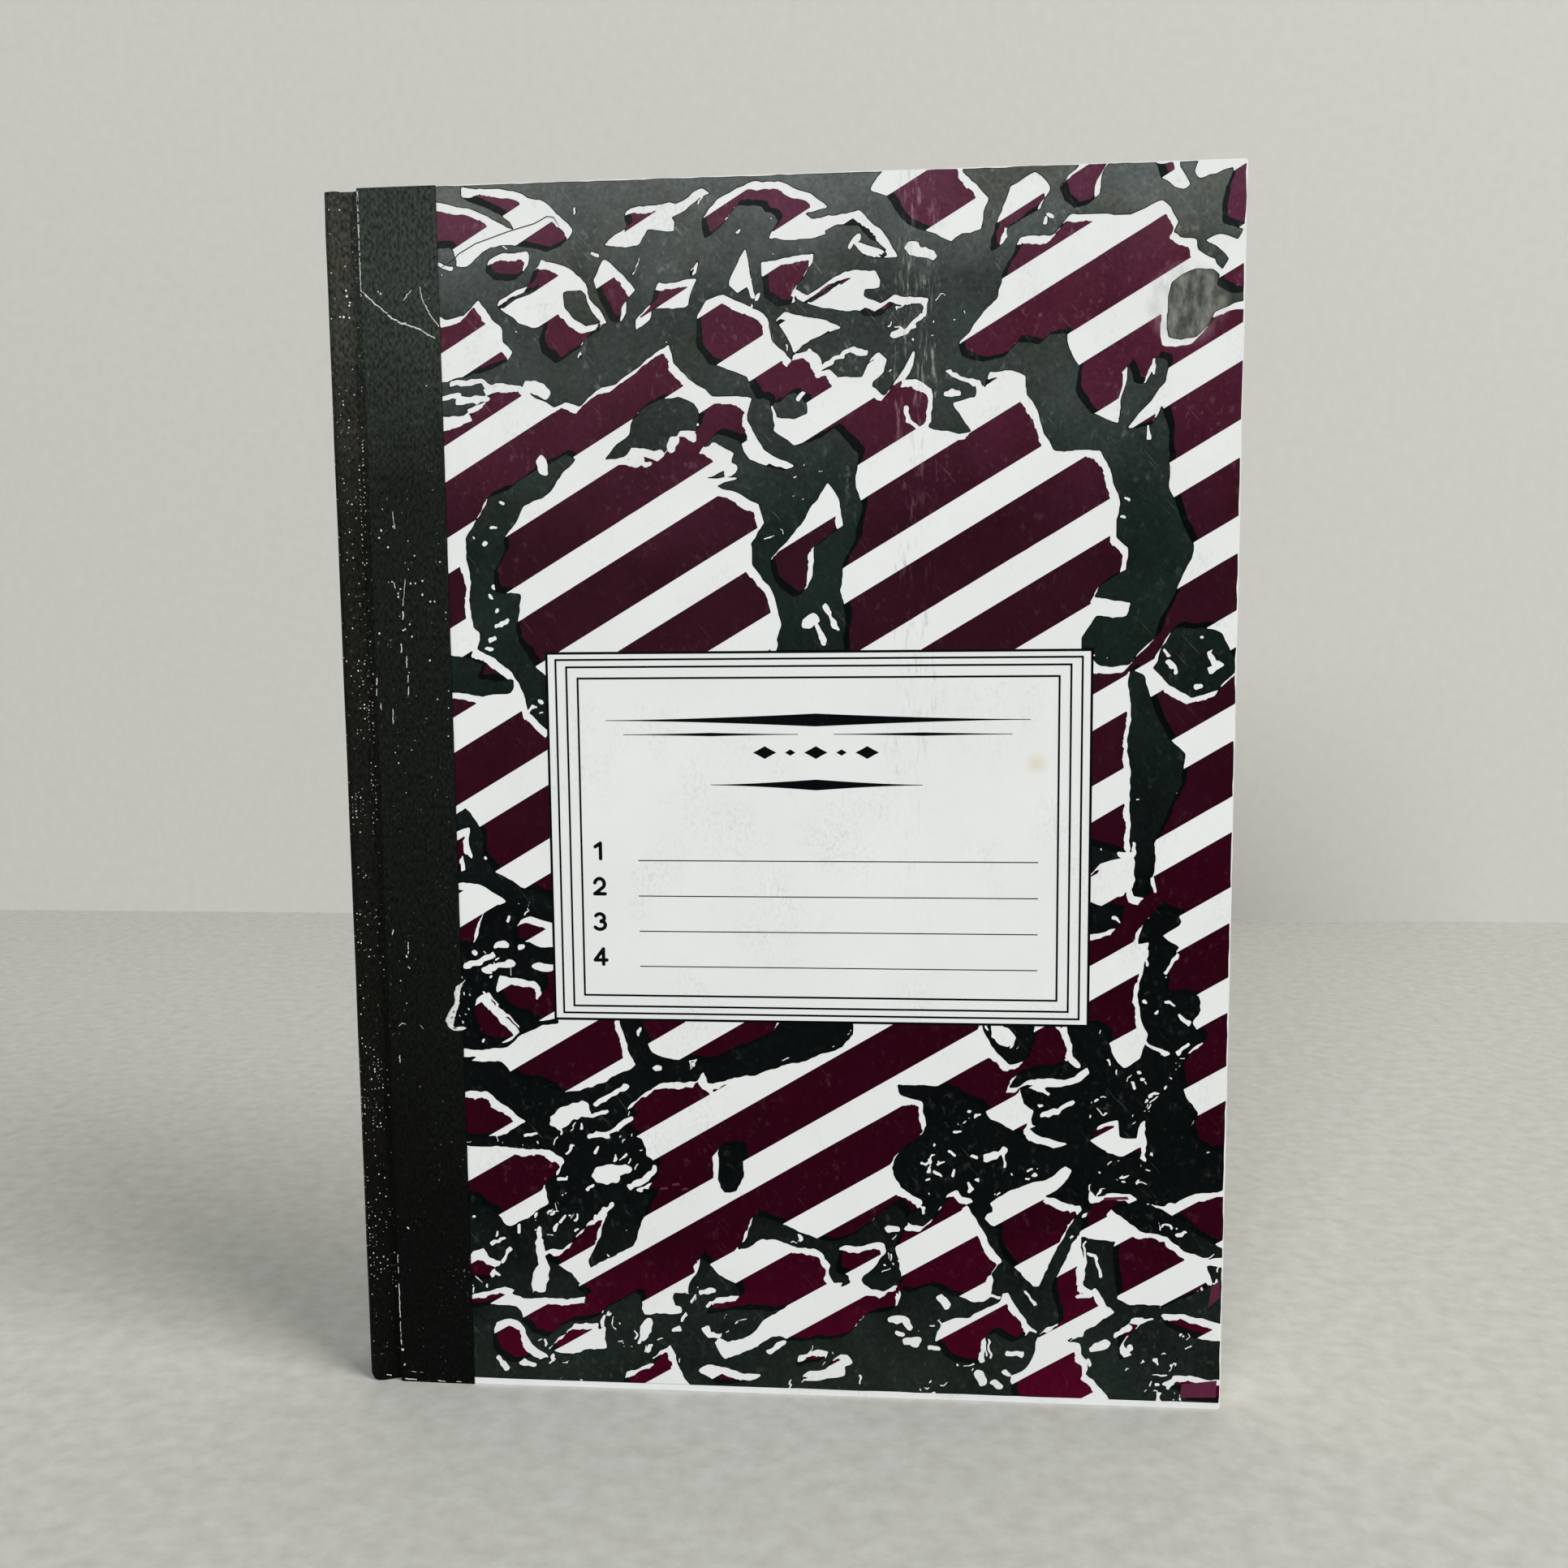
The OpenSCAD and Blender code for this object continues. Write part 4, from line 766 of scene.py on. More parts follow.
def ink_layer(name, loops, depth, thickness, front, field=None):
    """Flat ink of these outlines with thin edges, its lower face `depth` from the book's middle plane."""
    points = np.vstack(loops)
    rims, start_at = [], 0
    for loop in loops:
        ring = np.arange(start_at, start_at + len(loop))
        rims.append(np.stack([ring, np.roll(ring, -1)], axis=1))
        start_at += len(loop)
    edges = [tuple(map(int, e)) for e in np.vstack(rims)]
    places, edges, tiles, *_ = delaunay_2d_cdt([Vector(p) for p in points], edges, [], 0, 1e-5)
    flat = np.array([tuple(p) for p in places])
    tiles = np.array([tuple(t) for t in tiles])
    centres = flat[tiles].mean(axis=1)
    inked = within(loops, centres) if field is None else ink_level(field, centres) > 0
    tiles = tiles[inked]
    # Edges that only one tile has get a wall down to the paper
    sides = np.vstack([tiles[:, [0, 1]], tiles[:, [1, 2]], tiles[:, [2, 0]]])
    order = np.sort(sides, axis=1)
    _, first, count = np.unique(order, axis=0, return_index=True, return_counts=True)
    rim = sides[first[count == 1]]
    n = len(flat)
    walls = np.stack([rim[:, 1], rim[:, 0], rim[:, 0] + n, rim[:, 1] + n], axis=1)
    # On the back the sheet is turned end for end
    up = flat[:, 1] if front else PRINT_H - flat[:, 1]
    side = -1 if front else 1
    spots = [
        np.stack([STRIP_X + flat[:, 0], np.full(n, side * y), TAIL_MARGIN + up], axis=1)
        for y in (depth + thickness, depth)
    ]
    faces = [tuple(f) for f in tiles.tolist()] + [tuple(f) for f in walls.tolist()]
    mesh = bpy.data.meshes.new(name)
    mesh.from_pydata((np.vstack(spots) * MM).tolist(), [], faces)
    mesh.validate()
    loose = bmesh.new()
    loose.from_mesh(mesh)
    bmesh.ops.delete(loose, geom=[v for v in loose.verts if not v.link_faces], context="VERTS")
    loose.to_mesh(mesh)
    loose.free()
    return piece(name, mesh)


# Print: the ruled label

OUTER_RULE_T = 0.5
RULE_T = 0.4
LINE_T = 0.2
PEN_HALF = 0.36
HAIRLINE = 0.06
# Each rule of the frame: how far it lies in from the label's edge, across and up
FRAME_RULES = ((0, 0), (1.9, 1.4), (4.1, 2.9), (6.4, 5.2))
LINE_U = (LABEL_U0 + 18.4, LABEL_U1 - 10.5)
LINES_V = [LABEL_V0 + 11.5 + i * 7.4 for i in range(4)]
NUMERAL_U = LABEL_U0 + 10.2
ORNAMENT_V = LABEL_V1 - 14


def frame_rule(across, up, thick):
    """A rule round the label: its outer and its inner outline."""
    found = []
    for inset in (0, thick):
        u0, u1 = LABEL_U0 + across + inset, LABEL_U1 - across - inset
        v0, v1 = LABEL_V0 + up + inset, LABEL_V1 - up - inset
        found.append(np.array([(u0, v0), (u1, v0), (u1, v1), (u0, v1)]))
    return found


def bar(u0, u1, v, thick):
    """A straight writing line."""
    return np.array([(u0, v), (u1, v), (u1, v + thick), (u0, v + thick)])


def swelled(u, v, long, thick, sharp=1.6):
    """A printer's swelled rule: hairline ends that grow to a full middle."""
    t = np.linspace(-1, 1, 25)
    half = HAIRLINE + (thick / 2 - HAIRLINE) * (1 - np.abs(t)) ** sharp
    up = np.stack([u + t * long / 2, v + half], axis=1)
    return np.vstack([up, np.stack([u + t[::-1] * long / 2, v - half], axis=1)])


def turned(u, v, wide, high, start, end, steps=10):
    """Points on part of an oval."""
    return [
        (u + wide * math.cos(math.radians(a)), v + high * math.sin(math.radians(a)))
        for a in np.linspace(start, end, steps + 1)
    ]


def numerals():
    """Plain upright numbers for the writing lines, top line first, each in pen strokes 4 mm high."""
    figures = (
        [[(-0.75, 2.85), (0.35, 3.6), (0.35, 0.35)]],
        [turned(0, 2.5, 1.0, 1.1, 170, -35) + [(-1.05, 0.4), (1.15, 0.4)]],
        [turned(-0.1, 2.75, 0.95, 0.85, 150, -75) + turned(-0.1, 1.25, 1.15, 0.92, 75, -150)],
        [[(0.5, 0.35), (0.5, 3.6), (-1.25, 1.25), (1.2, 1.25)]],
    )
    pens = []
    for lines, v in zip(figures, reversed(LINES_V)):
        pens += [(PEN_HALF, [(NUMERAL_U + a, v + 0.1 + b) for a, b in line]) for line in lines]
    return outlines(strokes(pens, U, V))


def label_outlines():
    """All the label's ink: frame rules, writing lines, ornament and numbers."""
    middle = (LABEL_U0 + LABEL_U1) / 2
    wide = LABEL_U1 - LABEL_U0 - 24.4
    found = []
    for i, (across, up) in enumerate(FRAME_RULES):
        found += frame_rule(across, up, OUTER_RULE_T if i == 0 else RULE_T)
    found += [bar(*LINE_U, v, LINE_T) for v in LINES_V]
    # Two swelled rules with lozenges between them
    found.append(swelled(middle, ORNAMENT_V, wide, 2.6))
    found += [swelled(middle + side * (wide / 4), ORNAMENT_V - 2.9, wide / 2.4, 0.7) for side in (-1, 1)]
    for k in (-2, -1, 0, 1, 2):
        long = 4.6 if k % 2 == 0 else 2.0
        found.append(swelled(middle + k * 5.2, ORNAMENT_V - 6.6, long, 2.6 if k % 2 == 0 else 1.3, 1.1))
    found.append(swelled(middle, ORNAMENT_V - 13.2, wide / 2, 2.2))
    return found + numerals()


# Cloth of the spine and joints

CLOTH_Y = BOARD_Y + CLOTH_T
GROOVE_X = BOARD_X - CLOTH_T - GROOVE_R
GROOVE_Y = CLOTH_Y - GROOVE_DEPTH + GROOVE_R
BEND_X = BOARD_X - CLOTH_T + EDGE_R
BEND_Y = CLOTH_Y - EDGE_R
LAP_RAMP = 9.6
# How far the torn bite in the free edge is pulled back, at these heights
TORN = (
    (78.4, 0), (78.9, 2.7), (80.2, 2.7), (81.5, 2.3), (82.8, 1.7), (84.0, 1.2), (86.5, 1.0),
    (87.9, 0.5), (88.8, 0),
)


def on_circle(centre, radius, degrees):
    """The point of a circle at an angle."""
    a = math.radians(degrees)
    return centre[0] + radius * math.cos(a), centre[1] + radius * math.sin(a)


def bend(centre, radius, start, end, steps=10):
    """Points along an arc."""
    return [on_circle(centre, radius, start + (end - start) * k / steps) for k in range(steps + 1)]


def straight(p, q, steps):
    """Points from p to q, without p itself."""
    return [tuple(np.array(p) + (np.array(q) - p) * k / steps) for k in range(1, steps + 1)]


def fall(p, q, degrees, steps=12):
    """A curve that leaves p level and runs into q along the direction given."""
    p, q = np.array(p), np.array(q)
    reach = (q[0] - p[0]) / 2
    back = q - reach * np.array(on_circle((0, 0), 1, degrees))
    found = []
    for k in range(1, steps + 1):
        t = k / steps
        s = 1 - t
        found.append(tuple(s**3 * p + 3 * s * s * t * (p + (reach, 0)) + 3 * s * t * t * back + t**3 * q))
    return found


def cloth_section(depth):
    """Half the strip's cross-section, `depth` below its outer face.

    It runs from the middle of the spine to the free edge, with y outwards.
    """
    shoulder = (SPINE_X + SHOULDER_R, CLOTH_Y - SHOULDER_R)
    groove = (GROOVE_X, GROOVE_Y)
    face = (SPINE_X + depth, 0)
    line = [face] + straight(face, (SPINE_X + depth, shoulder[1]), 7)
    line += bend(shoulder, SHOULDER_R - depth, 180, 90)[1:]
    lip = on_circle(groove, GROOVE_R + depth, FALL_ANGLE - 90)
    line += fall((shoulder[0], CLOTH_Y - depth), lip, FALL_ANGLE)
    line += bend(groove, GROOVE_R + depth, -90, 0)
    line += bend((BEND_X, BEND_Y), EDGE_R - depth, 180, 90)
    line.append((PAPER_X - LAP_RAMP, CLOTH_Y - depth))
    start, rise = line[-1], STRIP_Y - CLOTH_Y
    for t in np.linspace(0, 1, 13)[1:]:
        line.append((start[0] + t * LAP_RAMP, start[1] + rise * t * t * (3 - 2 * t)))
    line += straight(line[-1], (STRIP_X, STRIP_Y - depth), 10)
    return line


OUTER_LINE = np.array(cloth_section(0))
LINE_LONG = np.concatenate([[0], np.cumsum(np.hypot(*np.diff(OUTER_LINE, axis=0).T))])
# Length round the strip's outside from the middle of the spine to the bottom of the groove
CREASE_LONG = float(np.interp(GROOVE_X, OUTER_LINE[:, 0], LINE_LONG))


def worn_height(x, z):
    """Height of a point of the spine once its head is knocked down and its tail corner is rubbed round."""
    near = ease(x, -83.3, -85.6)
    knock = near * (0.32 + 0.06 * np.sin(x * 2.3)) * ease(z, 243, HEIGHT) + 0.15 * near * ease(z, 232, HEIGHT)
    round_off = 1.5 * ease(x, -88.4, SPINE_X) ** 1.6 * ease(z, 12, 0)
    return z - knock + round_off


def pulled_back(z, front):
    """How far the free edge lies back from its line at a height."""
    pull = 0.04 + 0.04 * np.sin(z * 2.1) * np.sin(z * 0.37)
    if front:
        torn_z, torn_by = zip(*TORN)
        pull += np.interp(z, torn_z, torn_by) * (1 + 0.12 * np.sin(z * 5.1) + 0.07 * np.sin(z * 11.3))
    return pull


def on_cloth(x, y, z, front):
    """Where a point of the smooth strip lies on the used one: x, y outwards and z, as numbers or arrays."""
    loose = np.where(x > PAPER_X, (x - PAPER_X) / (STRIP_X - PAPER_X), 0)
    # The groove and shoulder are pressed unevenly by hand use, most at the head
    soft = ease(x, -83.4, -85) * ease(y, 2, 6)
    y = y + soft * 0.07 * np.sin(z * 0.21 + 1.1) * np.sin(z * 0.057)
    y = y - soft * 0.22 * ease(z, 240, HEIGHT) * (0.6 + 0.4 * np.sin(x * 1.7 + z * 0.3))
    return x - loose * pulled_back(z, front), y, worn_height(x, z)


def cloth_side(name, front):
    """The cloth from the middle of the spine over the shoulder, the joint and the board onto the sheet."""
    outer, inner = OUTER_LINE, np.array(cloth_section(CLOTH_T))
    n = len(outer)
    # Closer rows at the tail, at the head and along the torn bite
    heights = set(np.linspace(0, HEIGHT, 101))
    heights |= set(np.linspace(0, 8, 17)) | set(np.linspace(238, HEIGHT, 25))
    if front:
        heights |= set(np.linspace(77.6, 89.4, 52))
    heights = sorted(heights)
    side = -1 if front else 1
    points, faces, marks = [], [], []
    for z in heights:
        for line in (outer, inner):
            x, y, up = on_cloth(line[:, 0], line[:, 1], z, front)
            points += [(a, side * b, c) for a, b, c in zip(x, y, up)]
            marks += [(along, z) for along in LINE_LONG]
    row = 2 * n
    for i in range(len(heights) - 1):
        a, b = i * row, (i + 1) * row
        for k in range(n - 1):
            faces.append((a + k, a + k + 1, b + k + 1, b + k))
            faces.append((a + n + k, b + n + k, b + n + k + 1, a + n + k + 1))
        faces.append((a + n - 1, a + 2 * n - 1, b + 2 * n - 1, b + n - 1))
    top = (len(heights) - 1) * row
    for k in range(n - 1):
        faces.append((k, n + k, n + k + 1, k + 1))
        faces.append((top + k, top + k + 1, top + n + k + 1, top + n + k))
    if front:
        faces = [f[::-1] for f in faces]
    made = solid(name, points, faces)
    weave = made.data.uv_layers.new(name="weave")
    picks = np.zeros(len(made.data.loops), np.int32)
    made.data.loops.foreach_get("vertex_index", picks)
    weave.data.foreach_set("uv", (np.array(marks)[picks] * MM).ravel())
    return made


# Threads and rubs worn pale on the cloth

# Rubs and scratches on the front, each (half width, points).
# The points are mm [from the strip's free edge, from the tail].
CLOTH_RUBS = [
    # crease worn to the thread at the head and near the tail
    (0.17, [(-16.05, 249.4), (-16.05, 245), (-16.05, 241)]),
    (0.1, [(-16.05, 243), (-16.05, 238), (-16.05, 236), (-16.05, 229)]),
    (0.07, [(-16.05, 29), (-16.05, 24.5)]), (0.1, [(-16.05, 22), (-16.05, 17), (-16.0, 14.5)]),
    (0.08, [(-16.05, 13.5), (-16.05, 9)]), (0.3, [(-15.8, 7.4), (-15.8, 7.0)]),
    (0.34, [(-15.5, 3.9), (-15.3, 3.8)]), (0.12, [(-16.0, 9.2), (-16.0, 8.4)]),
    # long scratch, a curved one beside it and a short nick
    (0.06, [(-16.4, 230.4), (-15.2, 229.4)]),
    (0.13, [(-15.2, 229.4), (-14.3, 228.4), (-13.9, 228.2), (-13.1, 227.3)]),
    (0.09, [(-13.1, 227.3), (-12.4, 226.9), (-11.5, 226.0), (-10.8, 225.5)]),
    (0.12, [(-10.6, 225.2), (-9.8, 224.5), (-8.6, 224.0)]),
    (0.17, [(-8.6, 223.8), (-7.7, 223.4), (-7.0, 223.4)]),
    (0.10, [(-7.0, 223.2), (-5.6, 222.8), (-4.6, 222.4), (-3.9, 222.1)]),
    (0.10, [(-3.7, 221.9), (-2.4, 221.1), (-1.0, 220.4)]),
    (0.07, [(-7.3, 227.9), (-6.4, 229.1), (-5.5, 229.9)]), (0.08, [(-3.9, 230.9), (-3.5, 228.2),
    (-2.9, 226.9), (-2.1, 225.3), (-1.0, 223.8), (-0.2, 222.7)]),
    # short rubs down the flat
    (0.13, [(-9.7, 166.0), (-9.8, 164.4)]), (0.12, [(-10.3, 159.4), (-10.3, 157.7)]),
    (0.08, [(-9.3, 156.9), (-9.4, 154.6)]), (0.09, [(-9.1, 152.9), (-9.2, 151.6)]),
    (0.09, [(-9.1, 150.6), (-9.2, 148.9)]), (0.10, [(-15.8, 152.4), (-15.9, 151.0)]),
    (0.07, [(-15.9, 150.2), (-16.0, 148.9)]), (0.05, [(-9.0, 172.5), (-9.7, 167.2)]),
    (0.08, [(-11.4, 171.9), (-11.2, 170.8)]), (0.06, [(-11.2, 186.2), (-10.8, 182.8)]),
    (0.07, [(-12.6, 146), (-12.7, 143)]), (0.07, [(-15.2, 147.2), (-15.1, 146)]),
    (0.09, [(-14.3, 99.6), (-14.6, 98.6)]), (0.07, [(-11.2, 97), (-11.3, 94.6)]),
    (0.12, [(-11.6, 94.2), (-11.6, 93.8)]), (0.07, [(-13.8, 79), (-13.2, 79.6), (-12.4, 79.4)]),
    (0.07, [(-9.2, 79.2), (-8.6, 78.6)]), (0.08, [(-14, 72.6), (-13.9, 71)]),
    (0.15, [(-13.7, 34.8), (-13.4, 34.5)]), (0.05, [(-13.9, 2.3), (-11.5, 2.2)]),
    (0.1, [(-8.1, 0.5), (-6.5, 0.4)]), (0.09, [(-19.6, 1.2), (-18.8, 0.9)]),
    (0.12, [(-15.4, 0.6), (-12.9, 0.5)]), (0.1, [(-3.9, 0.4), (-3.0, 0.4)]),
]
# Single worn crossings on the front that stand out, in the same measure
CLOTH_DOTS = [
    (-11.8, 172.1), (-10.6, 169.7), (-10.6, 169.0), (-13.7, 182.5), (-12.4, 179.1), (-6.9, 177.3),
    (-7.9, 171.7), (-6.9, 171.7), (-5.4, 172.2), (-5.5, 169.4), (-3.9, 168.0), (-3.0, 168.0),
    (-1.6, 176.0), (-14.9, 161.6), (-4.4, 156.0), (-19.3, 230.3), (-19.2, 229.2), (-18.7, 228.0),
    (-18.8, 227.4), (-20.6, 225.1), (-19.9, 225.1), (-18.9, 225.0), (-22.4, 224.8), (-16.5, 225.3),
    (-10.1, 170.6), (-14.2, 181.0), (-8.4, 163.4), (-8.0, 160.9), (-9.8, 162.2), (-9.4, 162.4),
    (-12.5, 229.8), (-12.0, 229.4),
]
# Rows of thread crossings worn white: [X, how many threads wide, lowest height, highest height, share worn]
WORN_ROWS = (
    (-84.6, 2, 186, 244, 0.26), (-83.4, 1, 150, 236, 0.12), (-85.4, 2, 120, 205, 0.30),
    (-88.4, 4, 120, 205, 0.05), (-86.9, 3, 135, 170, 0.12), (-90.0, 3, 24, 128, 0.21),
    (-87.6, 4, 40, 125, 0.13), (-84.5, 1, 20, 120, 0.10), (-90.0, 9, 2, 247, 0.045),
    (-89.4, 6, 2, 40, 0.08), (-79.3, 3, 70, 110, 0.05), (-76.2, 3, 120, 185, 0.05),
    (-80.5, 5, 60, 190, 0.022), (-70.4, 4, 90, 215, 0.02), (-73.5, 4, 60, 150, 0.015),
    (-68.0, 1, 100, 240, 0.07),
)
# Thread crossings that show as single dots lie 0.7 mm apart
CROSSING = 0.7
# Worn threads lie this far over the cloth, whose slope is read over a short step
FLAKE_LIFT = 0.03
SLOPE_STEP = 0.05


def worn_threads(name, front):
    """Pale thread crossings and rubs as thin flakes that follow the cloth."""
    rng = np.random.default_rng(31 if front else 32)
    line_x, line_y = OUTER_LINE[int(np.argmax(OUTER_LINE[:, 0] > SPINE_X + 0.01)) - 1 :].T
    side = -1 if front else 1
    points, faces = [], []

    def flake(ring):
        """One flake from its rim, a list of (x, z)."""
        x, z = np.array(ring).T
        y = np.interp(x, line_x, line_y)
        slope_in = np.interp(x + SLOPE_STEP, line_x, line_y) - y
        x, y, up = on_cloth(x, y, z, front)
        base = len(points)
        tilt = np.hypot(SLOPE_STEP, slope_in)
        x = x - FLAKE_LIFT * slope_in / tilt
        y = y + FLAKE_LIFT * SLOPE_STEP / tilt
        points.extend(zip(x, side * y, up))
        faces.append(tuple(range(base, base + len(ring)))[:: 1 if front else -1])

    def crossing(x, z, half):
        """One rounded worn crossing."""
        tall, first = half * rng.uniform(0.8, 1.4), rng.uniform(0, 1)
        angles = first + np.arange(6) * math.tau / 6
        flake([(x + half * math.cos(a), z + tall * math.sin(a)) for a in angles])

    for row_x, wide, low, high, share in WORN_ROWS:
        for z in np.arange(low, high, CROSSING):
            # Wear comes and goes along the row
            here = share * (0.35 + 1.3 * ease(float(drift(np.array(z), np.array(row_x), 9.0, 40)), -0.5, 0.7))
            for k in range(wide):
                if rng.random() < here:
                    spot_x, spot_z = row_x + k * CROSSING + rng.normal(0, 0.05), z + rng.normal(0, 0.05)
                    crossing(spot_x, spot_z, 0.05 + 0.11 * rng.random() ** 1.5)
    if front:
        for u, z in CLOTH_DOTS:
            crossing(STRIP_X + u, z, rng.uniform(0.16, 0.22))
        for half, path in CLOTH_RUBS:
            for (u0, v0), (u1, v1) in zip(path, path[1:]):
                long = math.hypot(u1 - u0, v1 - v0)
                steps = max(1, int(long / 0.45))
                across = ((v1 - v0) / max(long, 1e-6), -(u1 - u0) / max(long, 1e-6))
                for k in range(steps):
                    if rng.random() < 0.12 and steps > 3:
                        continue
                    ends = []
                    for t in ((k - 0.1) / steps, (k + 1.1) / steps):
                        stray = rng.normal(0, 0.05)
                        along_x, along_z = STRIP_X + u0 + (u1 - u0) * t, v0 + (v1 - v0) * t
                        ends.append((along_x + across[0] * stray, along_z + across[1] * stray))
                    w0, w1 = half * rng.uniform(0.5, 1.3, 2)
                    (xa, za), (xb, zb) = ends
                    flake([
                        (xa - across[0] * w0, za - across[1] * w0),
                        (xa + across[0] * w0, za + across[1] * w0),
                        (xb + across[0] * w1, zb + across[1] * w1),
                        (xb - across[0] * w1, zb - across[1] * w1),
                    ])
    points = [(float(a), float(b), float(c)) for a, b, c in points]
    return solid(name, points, faces)


def torn_fibres(name):
    """White backing of the cloth, torn up in a slope along the bite."""
    rng = np.random.default_rng(9)
    sides, n = [], 70
    for line, stray in ((TORN_OUTSIDE, 0.03), (TORN_INSIDE, 0.05)):
        line = np.array(line)
        long = np.concatenate([[0], np.cumsum(np.hypot(*np.diff(line, axis=0).T))])
        t = np.linspace(0, long[-1], n)
        even = np.stack([np.interp(t, long, line[:, k]) for k in (0, 1)], axis=1)
        sides.append(even + rng.normal(0, stray, (n, 2)))
    points, faces = [], []
    # The slope from the cloth's torn edge down to the sheet: share of the way, height
    slope = (
        (0, STRIP_Y - 0.02), (0.12, STRIP_Y + 0.06), (0.5, STRIP_Y + 0.03),
        (0.85, PAPER_Y + 0.14), (1, PAPER_Y + 0.03),
    )
    for share, y in slope:
        row = sides[0] * (1 - share) + sides[1] * share
        points += [(STRIP_X + u, -y - rng.uniform(0, 0.02), TAIL_MARGIN + v) for u, v in row]
    for k in range(4):
        faces += [(k * n + i, k * n + i + 1, k * n + n + i + 1, k * n + n + i) for i in range(n - 1)]
    return solid(name, points, faces, 60)


def ribbon(points, half):
    """The outline of a thin line that tapers at both ends."""
    points = np.array(points, float)
    steps = np.gradient(points, axis=0)
    across = np.stack([-steps[:, 1], steps[:, 0]], axis=1) / np.hypot(*steps.T)[:, None]
    from_end = np.minimum(np.arange(len(points)), np.arange(len(points))[::-1])
    wide = half * np.clip(from_end + 0.3, 0, 1)[:, None]
    return np.vstack([points + across * wide, (points - across * wide)[::-1]])


# Sewn leaves, spine strip and endpapers


def leaves():
    """Eight sewn sections of eight folded sheets, each sheet a thin strip bent round its fold."""
    rng = np.random.default_rng(5)
    thick_section = 2 * BLOCK_Y / SECTIONS
    pitch = thick_section / (2 * SHEETS_A_SECTION)
    points, faces = [], []
    for section in range(SECTIONS):
        middle = -BLOCK_Y + (section + 0.5) * thick_section
        fold_x = BLOCK_X + thick_section / 2
        for sheet in range(SHEETS_A_SECTION):
            outside = thick_section / 2 - sheet * pitch
            inside_r = outside - 0.94 * pitch
            ends = FORE_X - rng.uniform(0, 0.05, 2)
            top = HEIGHT - rng.uniform(0, 0.04)
            bottom = rng.uniform(0, 0.01)
            loop = []
            for radius, order in ((outside, 1), (inside_r, -1)):
                path = [(ends[0], middle + radius), (0, middle + radius), (-83.5, middle + radius)]
                for k in range(9):
                    a = math.pi * (0.5 + k / 8)
                    path.append((fold_x + radius * math.cos(a), middle + radius * math.sin(a)))
                path += [(-83.5, middle - radius), (0, middle - radius), (ends[1], middle - radius)]
                loop += path[::order]
            n, base = len(loop), len(points)
            for z in (bottom, top):
                points += [(x, y, min(z, float(worn_height(x, z)) + 0.02)) for x, y in loop]
            for k in range(n):
                m = (k + 1) % n
                faces.append((base + k, base + m, base + n + m, base + n + k))
            for k in range(n // 2 - 1):
                quad = (k, k + 1, n - 2 - k, n - 1 - k)
                faces.append(tuple(base + q for q in quad[::-1]))
                faces.append(tuple(base + n + q for q in quad))
    return solid("leaves", points, faces, 50)


def spine_strip():
    """The stiff strip in the spine, knocked down with the cloth that covers it."""
    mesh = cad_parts["spine_inlay"].data.copy()
    mesh.name = "spine_strip"
    for v in mesh.vertices:
        v.co.z = worn_height(v.co.x / MM, v.co.z / MM) * MM
    return piece("spine_strip", mesh)


def endpaper(name, front):
    """Pasted endpaper with the part that crosses the joint to the leaves."""
    side = -1 if front else 1
    # Close columns where the paper bends over the joint
    columns = list(np.linspace(BLOCK_X + 0.25, BOARD_X, 22))
    columns += [BOARD_X + 1.5, -40, 0, 50, FORE_X - 0.7, FORE_X]
    rows = [0, 0.7, 60, 125, 190, HEIGHT - 0.7, HEIGHT]
    points, faces = [], []
    for y in (FLYLEAF_Y + 0.004, PASTEDOWN_Y):
        for z in rows:
            for x in columns:
                # Corner rounded with its board
                corner = x == FORE_X and z in (0, HEIGHT)
                points.append((x - 0.2 * corner, side * y, z + 0.2 * corner * (1 if z == 0 else -1)))
    w, h = len(columns), len(rows)
    layer = w * h
    for j in range(h - 1):
        for i in range(w - 1):
            a = j * w + i
            faces.append((a, a + 1, a + w + 1, a + w))
            faces.append(tuple(layer + q for q in (a, a + w, a + w + 1, a + 1)))
    rim = [i for i in range(w)] + [j * w + w - 1 for j in range(1, h)]
    rim += [(h - 1) * w + i for i in range(w - 2, -1, -1)] + [j * w for j in range(h - 2, 0, -1)]
    for a, b in zip(rim, rim[1:] + rim[:1]):
        faces.append((b, a, layer + a, layer + b))
    if front:
        faces = [f[::-1] for f in faces]
    return solid(name, points, faces)


# Boards and cover paper


